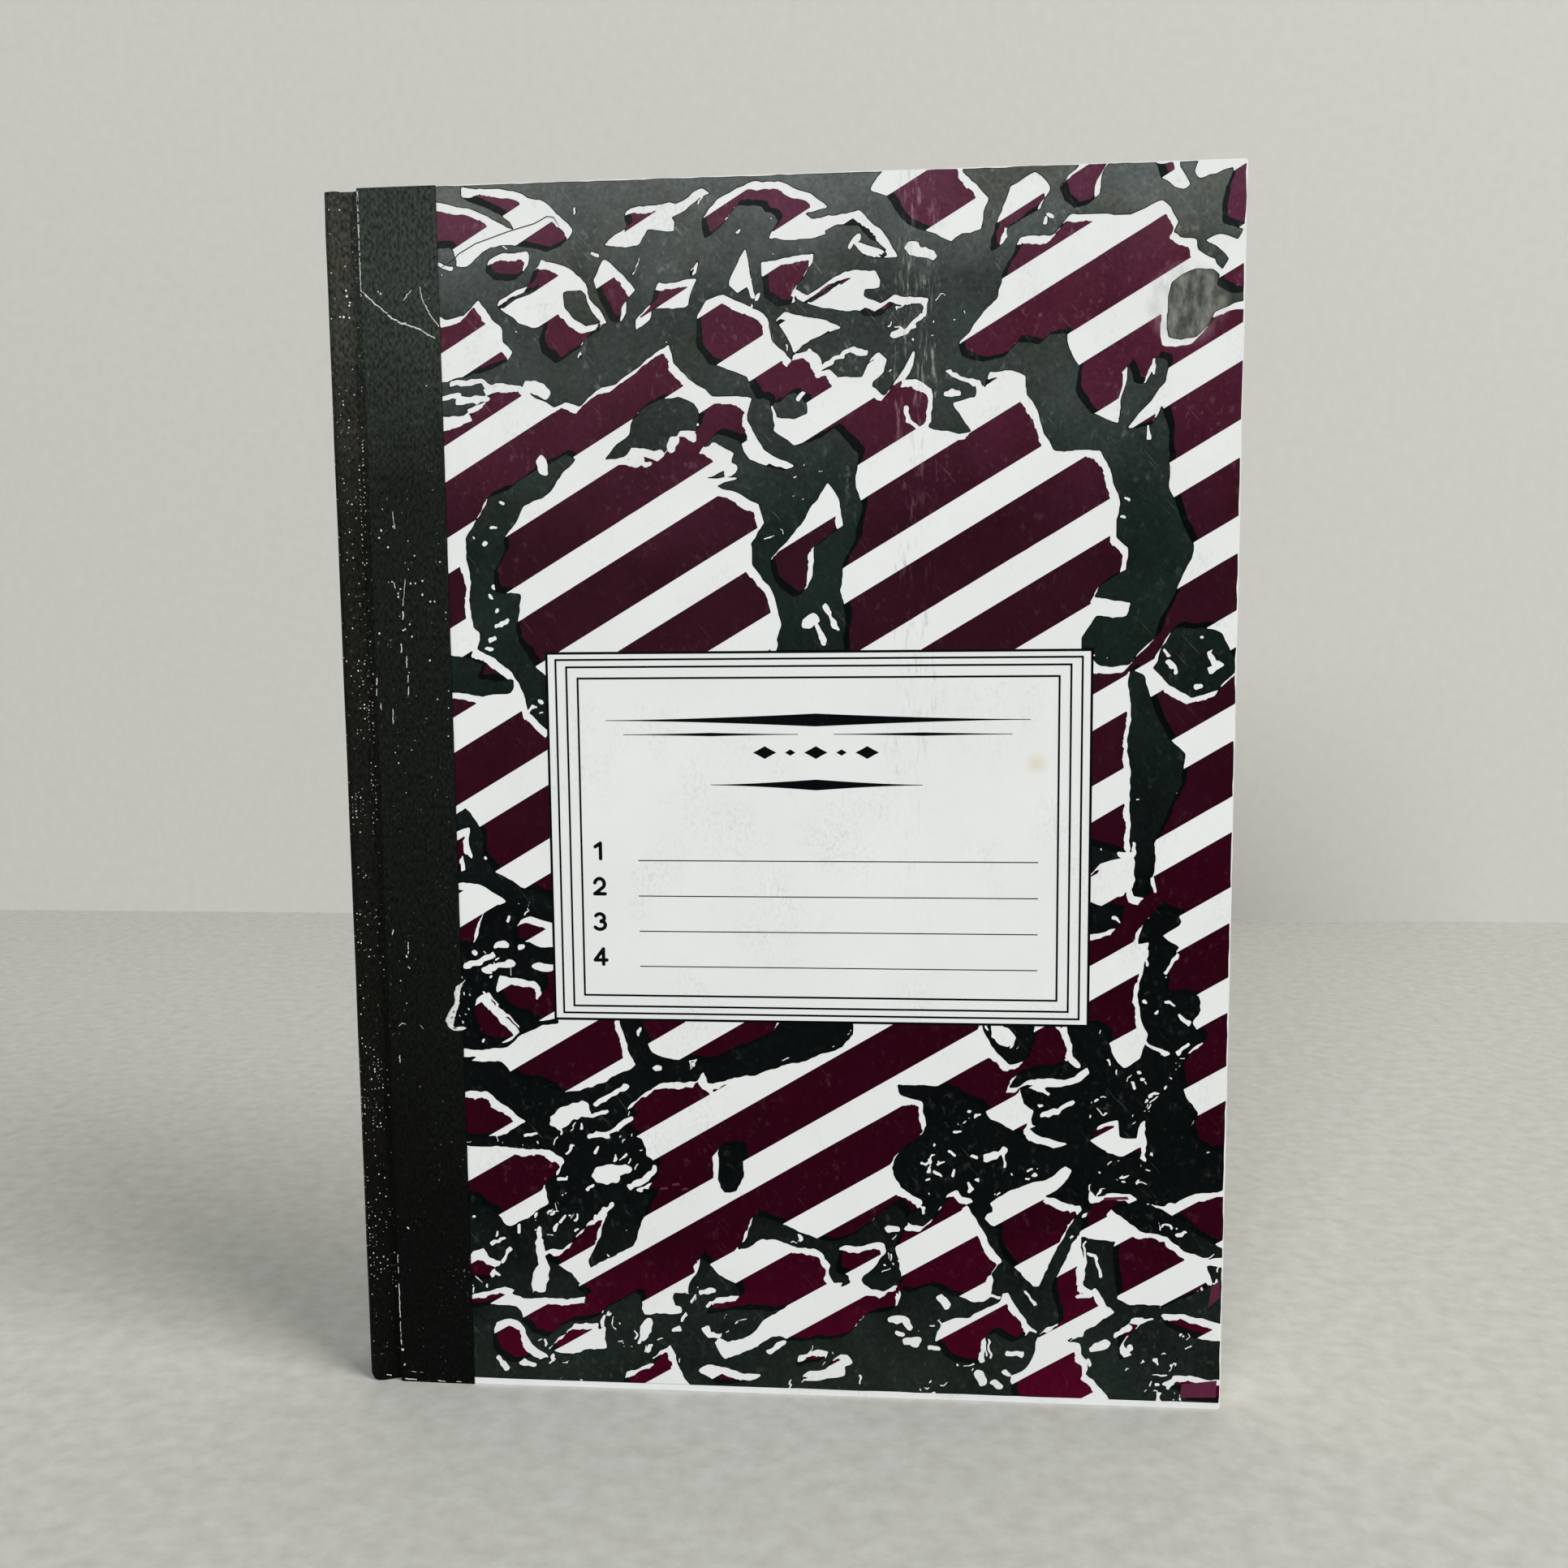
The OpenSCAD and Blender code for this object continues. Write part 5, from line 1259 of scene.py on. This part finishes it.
def slab(name, x_edges, y_edges, corner, bevel, front, wear_seed=None):
    """A flat sheet or board with rounded fore-edge corners and softened edges."""
    side = -1 if front else 1
    x0, x1 = x_edges
    outline = [(x0, 0), (x0, HEIGHT)]
    for z, start, turn in ((HEIGHT, 90, -90), (0, 0, -90)):
        centre_z = HEIGHT - corner if z else corner
        for k in range(9):
            outline.append(on_circle((x1 - corner, centre_z), corner, start + turn * k / 8))
    outline = [np.array(p, float) for p in outline]
    # Long edges get points of their own, for small knocks
    full = []
    for p, q in zip(outline, outline[1:] + outline[:1]):
        steps = max(1, int(np.hypot(*(q - p)) / 2.5))
        full += [p + (q - p) * k / steps for k in range(steps)]
    if wear_seed is not None:
        for p in full:
            if p[0] > x1 - 0.3 and corner < p[1] < HEIGHT - corner:
                p[0] -= 0.06 + 0.06 * float(drift(np.array(p[1]), np.array(0.5), 4.0, wear_seed))
    middle = np.array([(x0 + x1) / 2, HEIGHT / 2])
    half = np.array([(x1 - x0) / 2, HEIGHT / 2])
    rings = []
    low, high = y_edges
    for y, inset in ((low, bevel), (low + bevel, 0), (high - bevel, 0), (high, bevel)):
        shrink = (half - inset) / half
        rings.append([tuple(middle + (p - middle) * shrink) + (side * y,) for p in full])
    n = len(full)
    points = [(x, y, z) for ring in rings for x, z, y in ring]
    faces = [tuple(range(n)), tuple(3 * n + k for k in range(n))[::-1]]
    for r in range(3):
        for k in range(n):
            m = (k + 1) % n
            faces.append((r * n + k, (r + 1) * n + k, (r + 1) * n + m, r * n + m))
    if not front:
        faces = [f[::-1] for f in faces]
    return solid(name, points, faces, 20)


# Materials


def start(name):
    """An empty material, its nodes, and the piece's own coordinates in millimetres."""
    made = bpy.data.materials.new(name)
    made.use_nodes = True
    tree = made.node_tree
    tree.nodes.clear()
    place = add(tree, "ShaderNodeTexCoord", out="Object")
    return made, tree, add(tree, "ShaderNodeVectorMath", {0: place, "Scale": 1000.0}, operation="SCALE")


def surfaced(tree, relief, deep, **shader):
    """Ends a material: one surface shader over a relief that is `deep` millimetres from low to high."""
    bump = add(tree, "ShaderNodeBump", {"Strength": 1.0, "Distance": deep * MM, "Height": relief})
    feeds = {name.replace("_", " "): value for name, value in shader.items()}
    skin = add(tree, "ShaderNodeBsdfPrincipled", {"Normal": bump, "IOR": 1.5, **feeds})
    add(tree, "ShaderNodeOutputMaterial", {"Surface": skin})


def grain(tree, mm, size, low, high, stretch=(1, 1, 1), least=0.0, most=1.0, detail=3.0):
    """Clouds with humps `size` millimetres apart, drawn out along an axis by its stretch.

    The pattern goes from least to most while the noise goes from low to high.
    """
    sizes = tuple(1 / (size * s) for s in stretch)
    spread = add(tree, "ShaderNodeVectorMath", {0: mm, 1: sizes}, operation="MULTIPLY")
    feeds = {"Vector": spread, "Scale": 1.0, "Detail": detail, "Roughness": 0.6}
    noise = add(tree, "ShaderNodeTexNoise", feeds)
    return add(tree, "ShaderNodeMapRange", {0: noise, 1: low, 2: high, 3: least, 4: most})


def ragged_height(tree, mm, axis):
    """The place along an axis in millimetres, made uneven by some 9 mm, for tones that change with it."""
    place = add(tree, "ShaderNodeSeparateXYZ", {0: mm}, axis)
    uneven = grain(tree, mm, 24.0, 0.3, 0.7, least=-9.0, most=9.0, detail=4.0)
    return add(tree, "ShaderNodeMath", {0: place, 1: uneven}, operation="ADD")


# Places of single marks on the front cover: the X and half the width of the band of rubs, the worn blot
# and the stain
BAND_X, BAND_HALF = 27.6, 4.2
WORN_BLOT = (79.7, -8.0, 223.5)
STAIN = (51.8, -8.0, 134.6)


def scuffs(tree, mm, low, high):
    """Rub marks: short upright ones in a band right of the middle, smudges, and a few slanting scratches.

    The band fades in between the heights low and high. One blot by the fore-edge is worn in mottles.
    """
    places = add(tree, "ShaderNodeSeparateXYZ", {0: mm}).node.outputs
    from_band = add(tree, "ShaderNodeMath", {0: places["X"], 1: BAND_X, 2: BAND_HALF}, operation="COMPARE")
    above = add(tree, "ShaderNodeMapRange", {0: places["Z"], 1: low, 2: high})
    band = add(tree, "ShaderNodeMath", {0: from_band, 1: above}, operation="MULTIPLY")
    short = grain(tree, mm, 0.7, 0.50, 0.66, (1, 1, 5))
    broken = grain(tree, mm, 4.0, 0.44, 0.60, (0.8, 1, 3))
    mottled = add(tree, "ShaderNodeMath", {0: short, 1: broken}, operation="MULTIPLY")
    mottled = add(tree, "ShaderNodeMath", {0: mottled, 1: band}, operation="MULTIPLY")
    # Smudges where the film is thinned, and a few hair scratches over them
    smudged = grain(tree, mm, 1.5, 0.56, 0.74, (1, 1, 1.5), most=0.8, detail=7.0)
    slant = add(tree, "ShaderNodeVectorRotate", {"Vector": mm, "Angle": 0.7}, rotation_type="Y_AXIS")
    crossing = grain(tree, slant, 0.5, 0.65, 0.73, (1, 1, 16), most=0.9)
    fine = add(tree, "ShaderNodeMath", {0: smudged, 1: crossing}, operation="MAXIMUM")
    from_blot = add(tree, "ShaderNodeVectorMath", {0: mm, 1: WORN_BLOT}, "Value", operation="DISTANCE")
    blot = add(tree, "ShaderNodeMapRange", {0: from_blot, 1: 8.5, 2: 6.5, 3: 0.0, 4: 1.0})
    worn = grain(tree, mm, 1.8, 0.38, 0.66, (1, 1, 2.2), least=0.1, most=0.8, detail=7.0)
    blot = add(tree, "ShaderNodeMath", {0: blot, 1: worn}, operation="MULTIPLY")
    handled = grain(tree, mm, 9.0, 0.42, 0.66, least=0.08, most=0.85)
    # Handled most near the head
    near_head = add(tree, "ShaderNodeMapRange", {0: places["Z"], 1: 175.0, 2: 225.0, 3: 0.22, 4: 1.0})
    handled = add(tree, "ShaderNodeMath", {0: handled, 1: near_head}, operation="MULTIPLY")
    feeds = {0: fine, 1: handled, 2: mottled}
    rubbed = add(tree, "ShaderNodeMath", feeds, operation="MULTIPLY_ADD", use_clamp=True)
    return add(tree, "ShaderNodeMath", {0: rubbed, 1: blot}, operation="MAXIMUM")


def printing_ink(name, body, tones, rubbed, roughness):
    """Offset ink on calendered paper: a thin satin film, a little mottled and rubbed, its tone changing by
    height.

    body is the ink's darkest and lightest tone. Each of the tones is such a pair, and takes over between
    two heights. The lighter tones towards the head are a painted sheen of the light, not sunned ink.
    """
    made, tree, mm = start(name)
    cloud = grain(tree, mm, 20.0, 0.35, 0.66, least=0.0, most=0.5, detail=4.0)
    # Real ink mottle is under 0.1 mm; drawn at 0.8 mm so that it shows
    mottle = grain(tree, mm, 0.8, 0.36, 0.68, least=0.0, most=0.5)
    mottled = add(tree, "ShaderNodeMath", {0: cloud, 1: mottle}, operation="ADD")
    height = ragged_height(tree, mm, "Z")
    colour = add(tree, "ShaderNodeMix", {0: mottled, 6: body[0], 7: body[1]}, 2, data_type="RGBA")
    for dark, light, start_at, full_at in tones:
        tone = add(tree, "ShaderNodeMix", {0: mottled, 6: dark, 7: light}, 2, data_type="RGBA")
        reached = add(tree, "ShaderNodeMapRange", {0: height, 1: start_at, 2: full_at})
        colour = add(tree, "ShaderNodeMix", {0: reached, 6: colour, 7: tone}, 2, data_type="RGBA")
    # Grime has browned it in patches
    browned = grain(tree, mm, 13.0, 0.48, 0.64, (1, 1, 1.4), least=0.0, most=0.6, detail=4.0)
    feeds = {0: browned, 6: colour, 7: "#f5e9d4"}
    colour = add(tree, "ShaderNodeMix", feeds, 2, data_type="RGBA", blend_type="MULTIPLY")
    marks = scuffs(tree, mm, 165.0, 215.0)
    colour = add(tree, "ShaderNodeMix", {0: marks, 6: colour, 7: rubbed}, 2, data_type="RGBA")
    surfaced(
        tree,
        # Board under the sheet is never quite flat: a swell of some hundredths of a millimetre
        grain(tree, mm, 14.0, 0.2, 0.8, detail=2.0), 0.022,
        Base_Color=colour,
        Roughness=grain(tree, mm, 20.0, 0.35, 0.66, least=roughness - 0.05, most=roughness + 0.06),
        Specular_IOR_Level=0.03,
    )
    return made


def cover_paper_finish():
    """Calendered bleached paper, handled: near-white and smooth, with grey specks and one yellow stain."""
    made, tree, mm = start("calendered_paper")
    cloudy = grain(tree, mm, 26.0, 0.35, 0.68, detail=4.0)
    clean = add(tree, "ShaderNodeMix", {0: cloudy, 6: "#e5e7e7", 7: "#e0e2e2"}, 2, data_type="RGBA")
    specks = grain(tree, mm, 0.7, 0.46, 0.72, (1, 1, 1.5), detail=4.0)
    patches = grain(tree, mm, 13.0, 0.52, 0.70, (1, 1, 1.6), most=0.28)
    dust = add(tree, "ShaderNodeMath", {0: specks, 1: patches}, operation="MULTIPLY")
    feeds = {0: scuffs(tree, mm, 95.0, 170.0), 1: 0.45, 2: dust}
    rub = add(tree, "ShaderNodeMath", feeds, operation="MULTIPLY_ADD", use_clamp=True)
    soiled = add(tree, "ShaderNodeMix", {0: rub, 6: clean, 7: "#8f918b"}, 2, data_type="RGBA")
    away = add(tree, "ShaderNodeVectorMath", {0: mm, 1: STAIN}, "Value", operation="DISTANCE")
    stain = add(tree, "ShaderNodeMapRange", {0: away, 1: 2.6, 2: 0.6, 3: 0.0, 4: 0.45})
    colour = add(tree, "ShaderNodeMix", {0: stain, 6: soiled, 7: "#cfc39a"}, 2, data_type="RGBA")
    surfaced(
        tree,
        grain(tree, mm, 14.0, 0.2, 0.8, detail=2.0), 0.022,
        Base_Color=colour,
        Roughness=grain(tree, mm, 26.0, 0.3, 0.7, least=0.46, most=0.58),
        Specular_IOR_Level=0.12,
    )
    return made


def book_cloth_finish():
    """Starched woven cotton dyed green-black, browned over the shoulders and rubbed, lighter by the head:
    painted sheen.
    """
    made, tree, mm = start("starched_book_cloth")
    unfolded = add(tree, "ShaderNodeUVMap", uv_map="weave")
    flat = add(tree, "ShaderNodeVectorMath", {0: unfolded, "Scale": 1000.0}, operation="SCALE")
    sides = add(tree, "ShaderNodeSeparateXYZ", {0: flat}).node.outputs
    # Book cloth has some 25 threads a centimetre; drawn 0.7 mm from crossing to crossing so that it shows
    turn_a_mm = math.pi / CROSSING
    turns = [add(tree, "ShaderNodeMath", {0: sides[k], 1: turn_a_mm}, operation="MULTIPLY") for k in (0, 1)]
    waves = [add(tree, "ShaderNodeMath", {0: turn}, operation="SINE") for turn in turns]
    over = add(tree, "ShaderNodeMath", {0: waves[0], 1: waves[1]}, operation="MULTIPLY")
    slubs = grain(tree, flat, 0.62, 0.3, 0.7, (1, 2.0, 1), -1.0, 1.0)
    mixed = add(tree, "ShaderNodeMath", {0: over, 1: 0.22, 2: slubs}, operation="MULTIPLY_ADD")
    woven = add(tree, "ShaderNodeMapRange", {0: mixed, 1: -0.8, 2: 0.9})
    height = ragged_height(tree, flat, "Y")
    # Heights over which the cloth's tone rises towards the head, a painted sheen of the light
    painted_sheen_spans = ((35.0, 190.0), (192.0, 226.0))
    steps = [add(tree, "ShaderNodeMapRange", {0: height, 1: low, 2: high}) for low, high in painted_sheen_spans]
    looks = []
    # Each look: its tones, dark and light, at the tail, the middle and the head; the rise up the height is
    # painted sheen
    for tones in (
        (("#010201", "#0a0c0a"), ("#070907", "#1e241e"), ("#191d1a", "#3e453f")),
        (("#040302", "#100f0c"), ("#0b0a07", "#24231b"), ("#1f1e1a", "#494740")),
    ):
        colour, *later = (
            add(tree, "ShaderNodeMix", {0: woven, 6: dark, 7: light}, 2, data_type="RGBA")
            for dark, light in tones
        )
        for step, tone in zip(steps, later):
            colour = add(tree, "ShaderNodeMix", {0: step, 6: colour, 7: tone}, 2, data_type="RGBA")
        looks.append(colour)
    shoulder = add(tree, "ShaderNodeMapRange", {0: sides[0], 1: CREASE_LONG + 0.3, 2: CREASE_LONG - 0.6})
    patchy = grain(tree, flat, 6.0, 0.36, 0.62, (1, 3, 1), 0.35, 1.0)
    browned = add(tree, "ShaderNodeMath", {0: shoulder, 1: patchy}, operation="MULTIPLY")
    cloth = add(tree, "ShaderNodeMix", {0: browned, 6: looks[0], 7: looks[1]}, 2, data_type="RGBA")
    # Threads rubbed half bare of dye
    threads = grain(tree, flat, 0.6, 0.66, 0.74, (1, 1.6, 1), detail=2.0)
    rubbed = grain(tree, flat, 5.0, 0.48, 0.62, (0.6, 3, 1), most=0.55)
    bare = add(tree, "ShaderNodeMath", {0: threads, 1: rubbed}, operation="MULTIPLY")
    surfaced(
        tree,
        woven, 0.02,
        Base_Color=add(tree, "ShaderNodeMix", {0: bare, 6: cloth, 7: "#8d8f89"}, 2, data_type="RGBA"),
        Roughness=grain(tree, flat, 9.0, 0.3, 0.7, (1, 3, 1), 0.44, 0.58),
        Specular_IOR_Level=0.05,
    )
    return made


def fibrous(name, light, dark, roughness, fibre, deep):
    """Paper, board or bare cotton: matt, with short fibres that give it a fine cloudy grain."""
    made, tree, mm = start(name)
    fibres = grain(tree, mm, fibre, 0.35, 0.7, (1, 1, 2.5), least=0.0, most=0.5, detail=4.0)
    cloudy = grain(tree, mm, 18.0, 0.3, 0.7, least=0.0, most=0.5, detail=4.0)
    tone = add(tree, "ShaderNodeMath", {0: cloudy, 1: fibres}, operation="ADD")
    colour = add(tree, "ShaderNodeMix", {0: tone, 6: light, 7: dark}, 2, data_type="RGBA")
    surfaced(tree, fibres, deep, Base_Color=colour, Roughness=roughness, Specular_IOR_Level=0.3)
    return made


def linen_thread_finish():
    """Waxed linen thread: cream, twisted, with a slight shine from the wax."""
    made, tree, mm = start("waxed_linen")
    feeds = {"Vector": mm, "Scale": 1.2, "Distortion": 1.0}
    twist = add(tree, "ShaderNodeTexWave", feeds, "Fac", wave_type="BANDS", bands_direction="DIAGONAL")
    colour = add(tree, "ShaderNodeMix", {0: twist, 6: "#b9ab8c", 7: "#e6dcc3"}, 2, data_type="RGBA")
    surfaced(tree, twist, 0.06, Base_Color=colour, Roughness=0.5)
    return made


cloth_finish = book_cloth_finish()
paper_finish = cover_paper_finish()
# Each ink: its body, then tones by height, the first of them towards the tail.
# The lighter tones towards the head are painted sheen of the light.
key_finish = printing_ink(
    "near_black_ink",
    ("#010405", "#05090a"),
    (("#070b0b", "#0d1211", 30.0, 10.0), ("#121517", "#1c2022", 190.0, 235.0)),
    "#4a4d4c", 0.38,
)
maroon_finish = printing_ink(
    "maroon_printing_ink",
    ("#24000e", "#300013"),
    (
        ("#3a0019", "#4c0421", 36.0, 8.0), ("#280a16", "#330f1e", 110.0, 150.0),
        ("#40162a", "#542236", 178.0, 214.0), ("#4d2638", "#5f3548", 226.0, 246.0),
    ),
    "#8a6472", 0.37,
)
marbling_finish = printing_ink(
    "grey_green_printing_ink",
    ("#020607", "#080e0f"),
    (
        ("#0f1614", "#232c28", 42.0, 14.0), ("#0e1816", "#1c2a26", 100.0, 165.0),
        ("#252c2a", "#3f4745", 180.0, 212.0), ("#454b4a", "#676d6b", 226.0, 248.0),
    ),
    "#8f9088", 0.37,
)
leaf_finish = fibrous("bleached_writing_paper", "#ece9df", "#ddd8ca", 0.7, 0.8, 0.01)
endpaper_finish = fibrous("endpaper_wove", "#e8e6dd", "#dedbd0", 0.65, 0.8, 0.01)
board_finish = fibrous("greyboard", "#8b8780", "#6e6a63", 0.85, 0.6, 0.04)
lining_finish = fibrous("kraft_paper", "#a98a62", "#8d7048", 0.8, 0.7, 0.02)
bare_thread_finish = fibrous("bare_cotton_thread", "#f0f1ec", "#b4b6b0", 0.8, 0.9, 0.005)
torn_fibre_finish = fibrous("torn_paper_fibre", "#e4e6e4", "#b4b8b5", 0.85, 0.6, 0.03)
magenta_finish = fibrous("rubbed_magenta_film", "#5c0c36", "#380822", 0.6, 0.7, 0.004)
thread_finish = linen_thread_finish()


# The notebook's pieces

# Each plate of the print: lower face, thickness, finish, slot, and the imported fields that it stands for
PLATES = {
    "key": (PAPER_Y, 0.02, key_finish, "black_ink", ()),
    "maroon": (PAPER_Y, 0.04, maroon_finish, "maroon_ink", ("_stripes",)),
    "marbling": (PAPER_Y + 0.021, 0.024, marbling_finish, "marbling_ink", ("_marbling",)),
}
# Lower face of what lies on all three inks
OVER_INK = PAPER_Y + 0.046
# Outlines smaller than this many square millimetres are left out
LEAST_AREA = 0.03
HAIR_HALF = 0.09

for front in (True, False):
    cover = "front_cover" if front else "back_cover"
    tag = "front" if front else "back"

    board = slab(tag + "_board_flat", (BOARD_X, FORE_X), (PASTEDOWN_Y, BOARD_Y), 0.7, 0.12, front, 21)
    clad(board, board_finish, cover, tag + "_board", slot="greyboard")
    sheet = slab(tag + "_sheet", (PAPER_X, FORE_X), (BOARD_Y, PAPER_Y), 0.75, 0.05, front, 22)
    clad(sheet, paper_finish, cover, tag + "_cover_paper", slot="cover_paper")

    cloth = cloth_side(tag + "_cloth", front)
    clad(cloth, cloth_finish, None, tag + "_cloth_wing", "spine_cloth", slot="book_cloth")
    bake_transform(cloth)
    worn = worn_threads(tag + "_worn_threads", front)
    clad(worn, bare_thread_finish, None, slot="book_cloth")
    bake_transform(worn)

    paste = endpaper(tag + "_endpaper", front)
    clad(paste, endpaper_finish, None, tag + "_pastedown", slot="endpaper")
    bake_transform(paste)

    slack = 0.04 if front else 0.08
    printed = zip(marbled_sheet(labelled=front), PLATES.items())
    for field, (plate, (depth, thick, finish, slot, fields)) in printed:
        loops = [thinned(loop, slack) for loop in outlines(field) if area(loop) > LEAST_AREA]
        loops = [loop for loop in loops if len(loop) > 2]
        made = ink_layer(f"{tag}_{plate}_print", loops, depth, thick, front, field)
        clad(made, finish, cover, *[tag + field_name for field_name in fields], slot=slot)

clad(torn_fibres("torn_fibres"), torn_fibre_finish, "front_cover", slot="book_cloth")
rubs = ink_layer("magenta_rubs", [np.array(loop) for loop in MAGENTA_RUBS], OVER_INK, 0.006, True)
clad(rubs, magenta_finish, "front_cover", slot="maroon_ink")
hair = ink_layer("hair", [ribbon(HAIR, HAIR_HALF)], OVER_INK, 0.02, True)
clad(hair, key_finish, "front_cover", slot="black_ink")
label = ink_layer("label_print", label_outlines(), PAPER_Y, 0.03, True)
clad(label, key_finish, "front_cover", "front_label_rules", slot="black_ink")
clad(leaves(), leaf_finish, "sewn_block", "text_block", slot="leaves")
clad(spine_strip(), board_finish, "sewn_block", "spine_inlay", slot="greyboard")

for node, finish in (
    ("sewing_thread", thread_finish),
    ("spine_lining", lining_finish),
    ("front_flyleaf", endpaper_finish),
    ("back_flyleaf", endpaper_finish),
):
    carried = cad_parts[node].data
    carried.materials.clear()
    carried.materials.append(finish)


# Table, wall, light and camera


def plane(name, corners, finish):
    """A flat side of the room."""
    mesh = bpy.data.meshes.new(name)
    mesh.from_pydata(corners, [], [tuple(range(len(corners)))])
    made = piece(name, mesh)
    made.data.materials.append(finish)


def painted(name, colour, darker, roughness):
    """A matt wall or table top, faintly cloudy."""
    made, tree, mm = start(name)
    worked = grain(tree, mm, 5.0, 0.35, 0.7, detail=6.0)
    tone = add(tree, "ShaderNodeMix", {0: worked, 6: colour, 7: darker}, 2, data_type="RGBA")
    surfaced(tree, worked, 0.05, Base_Color=tone, Roughness=roughness, Specular_IOR_Level=0.1)
    return made


# The room in metres: its reach to each side and up, and the wall behind the notebook
REACH, WALL_Y = 3, 0.51
table_corners = [(-REACH, -REACH, 0), (REACH, -REACH, 0), (REACH, WALL_Y, 0), (-REACH, WALL_Y, 0)]
wall_corners = [(-REACH, WALL_Y, 0), (REACH, WALL_Y, 0), (REACH, WALL_Y, REACH), (-REACH, WALL_Y, REACH)]
plane("table", table_corners, painted("pale_table", "#cfcfca", "#bfbfb9", 0.6))
plane("wall", wall_corners, painted("pale_wall", "#cfcec9", "#cbcac5", 0.9))


def soft_box(name, place, width, height, power, colour):
    """An even rectangular light aimed at the middle of the notebook."""
    light = bpy.data.lights.new(name, "AREA")
    light.shape = "RECTANGLE"
    light.size, light.size_y = width, height
    light.energy = power
    light.color = ink(colour)[:3]
    made = bpy.data.objects.new(name, light)
    made.location = place
    made.rotation_euler = (Vector((0, 0, 0.12)) - Vector(place)).to_track_quat("-Z", "Y").to_euler()
    bpy.context.scene.collection.objects.link(made)


soft_box("window", (3.06, -1.62, 2.94), width=2.2, height=2.2, power=152, colour="#fffffb")
soft_box("front_lamp", (-0.9, -3.64, 1.5), width=1.2, height=0.9, power=77, colour="#fdfdff")

world = bpy.data.worlds.new("room")
bpy.context.scene.world = world
world.use_nodes = True
world.node_tree.nodes["Background"].inputs["Color"].default_value = ink("#eef0f2")
world.node_tree.nodes["Background"].inputs["Strength"].default_value = 0.097
# Plain colours, without the film curve that would grey the print
bpy.context.scene.view_settings.view_transform = "Standard"

# The photograph's camera, from a fit to the front cover's four edges: place in metres, view and up directions
EYE = (0.0297, -0.3258, 0.1666)
VIEW = (-0.0892, 0.9897, -0.1123)
UPWARD = (-0.0007, 0.1127, 0.9936)
SENSOR, LENS = 36, 36.34

camera = bpy.data.cameras.new("camera")
camera.sensor_width = SENSOR
camera.lens = LENS
camera.clip_start = 0.01
eye = bpy.data.objects.new("camera", camera)
bpy.context.scene.collection.objects.link(eye)
forward = Vector(VIEW).normalized()
right = forward.cross(Vector(UPWARD)).normalized()
upward = right.cross(forward)
turn = Matrix((right, upward, -forward)).transposed()
eye.matrix_world = Matrix.Translation(EYE) @ turn.to_4x4()
bpy.context.scene.camera = eye
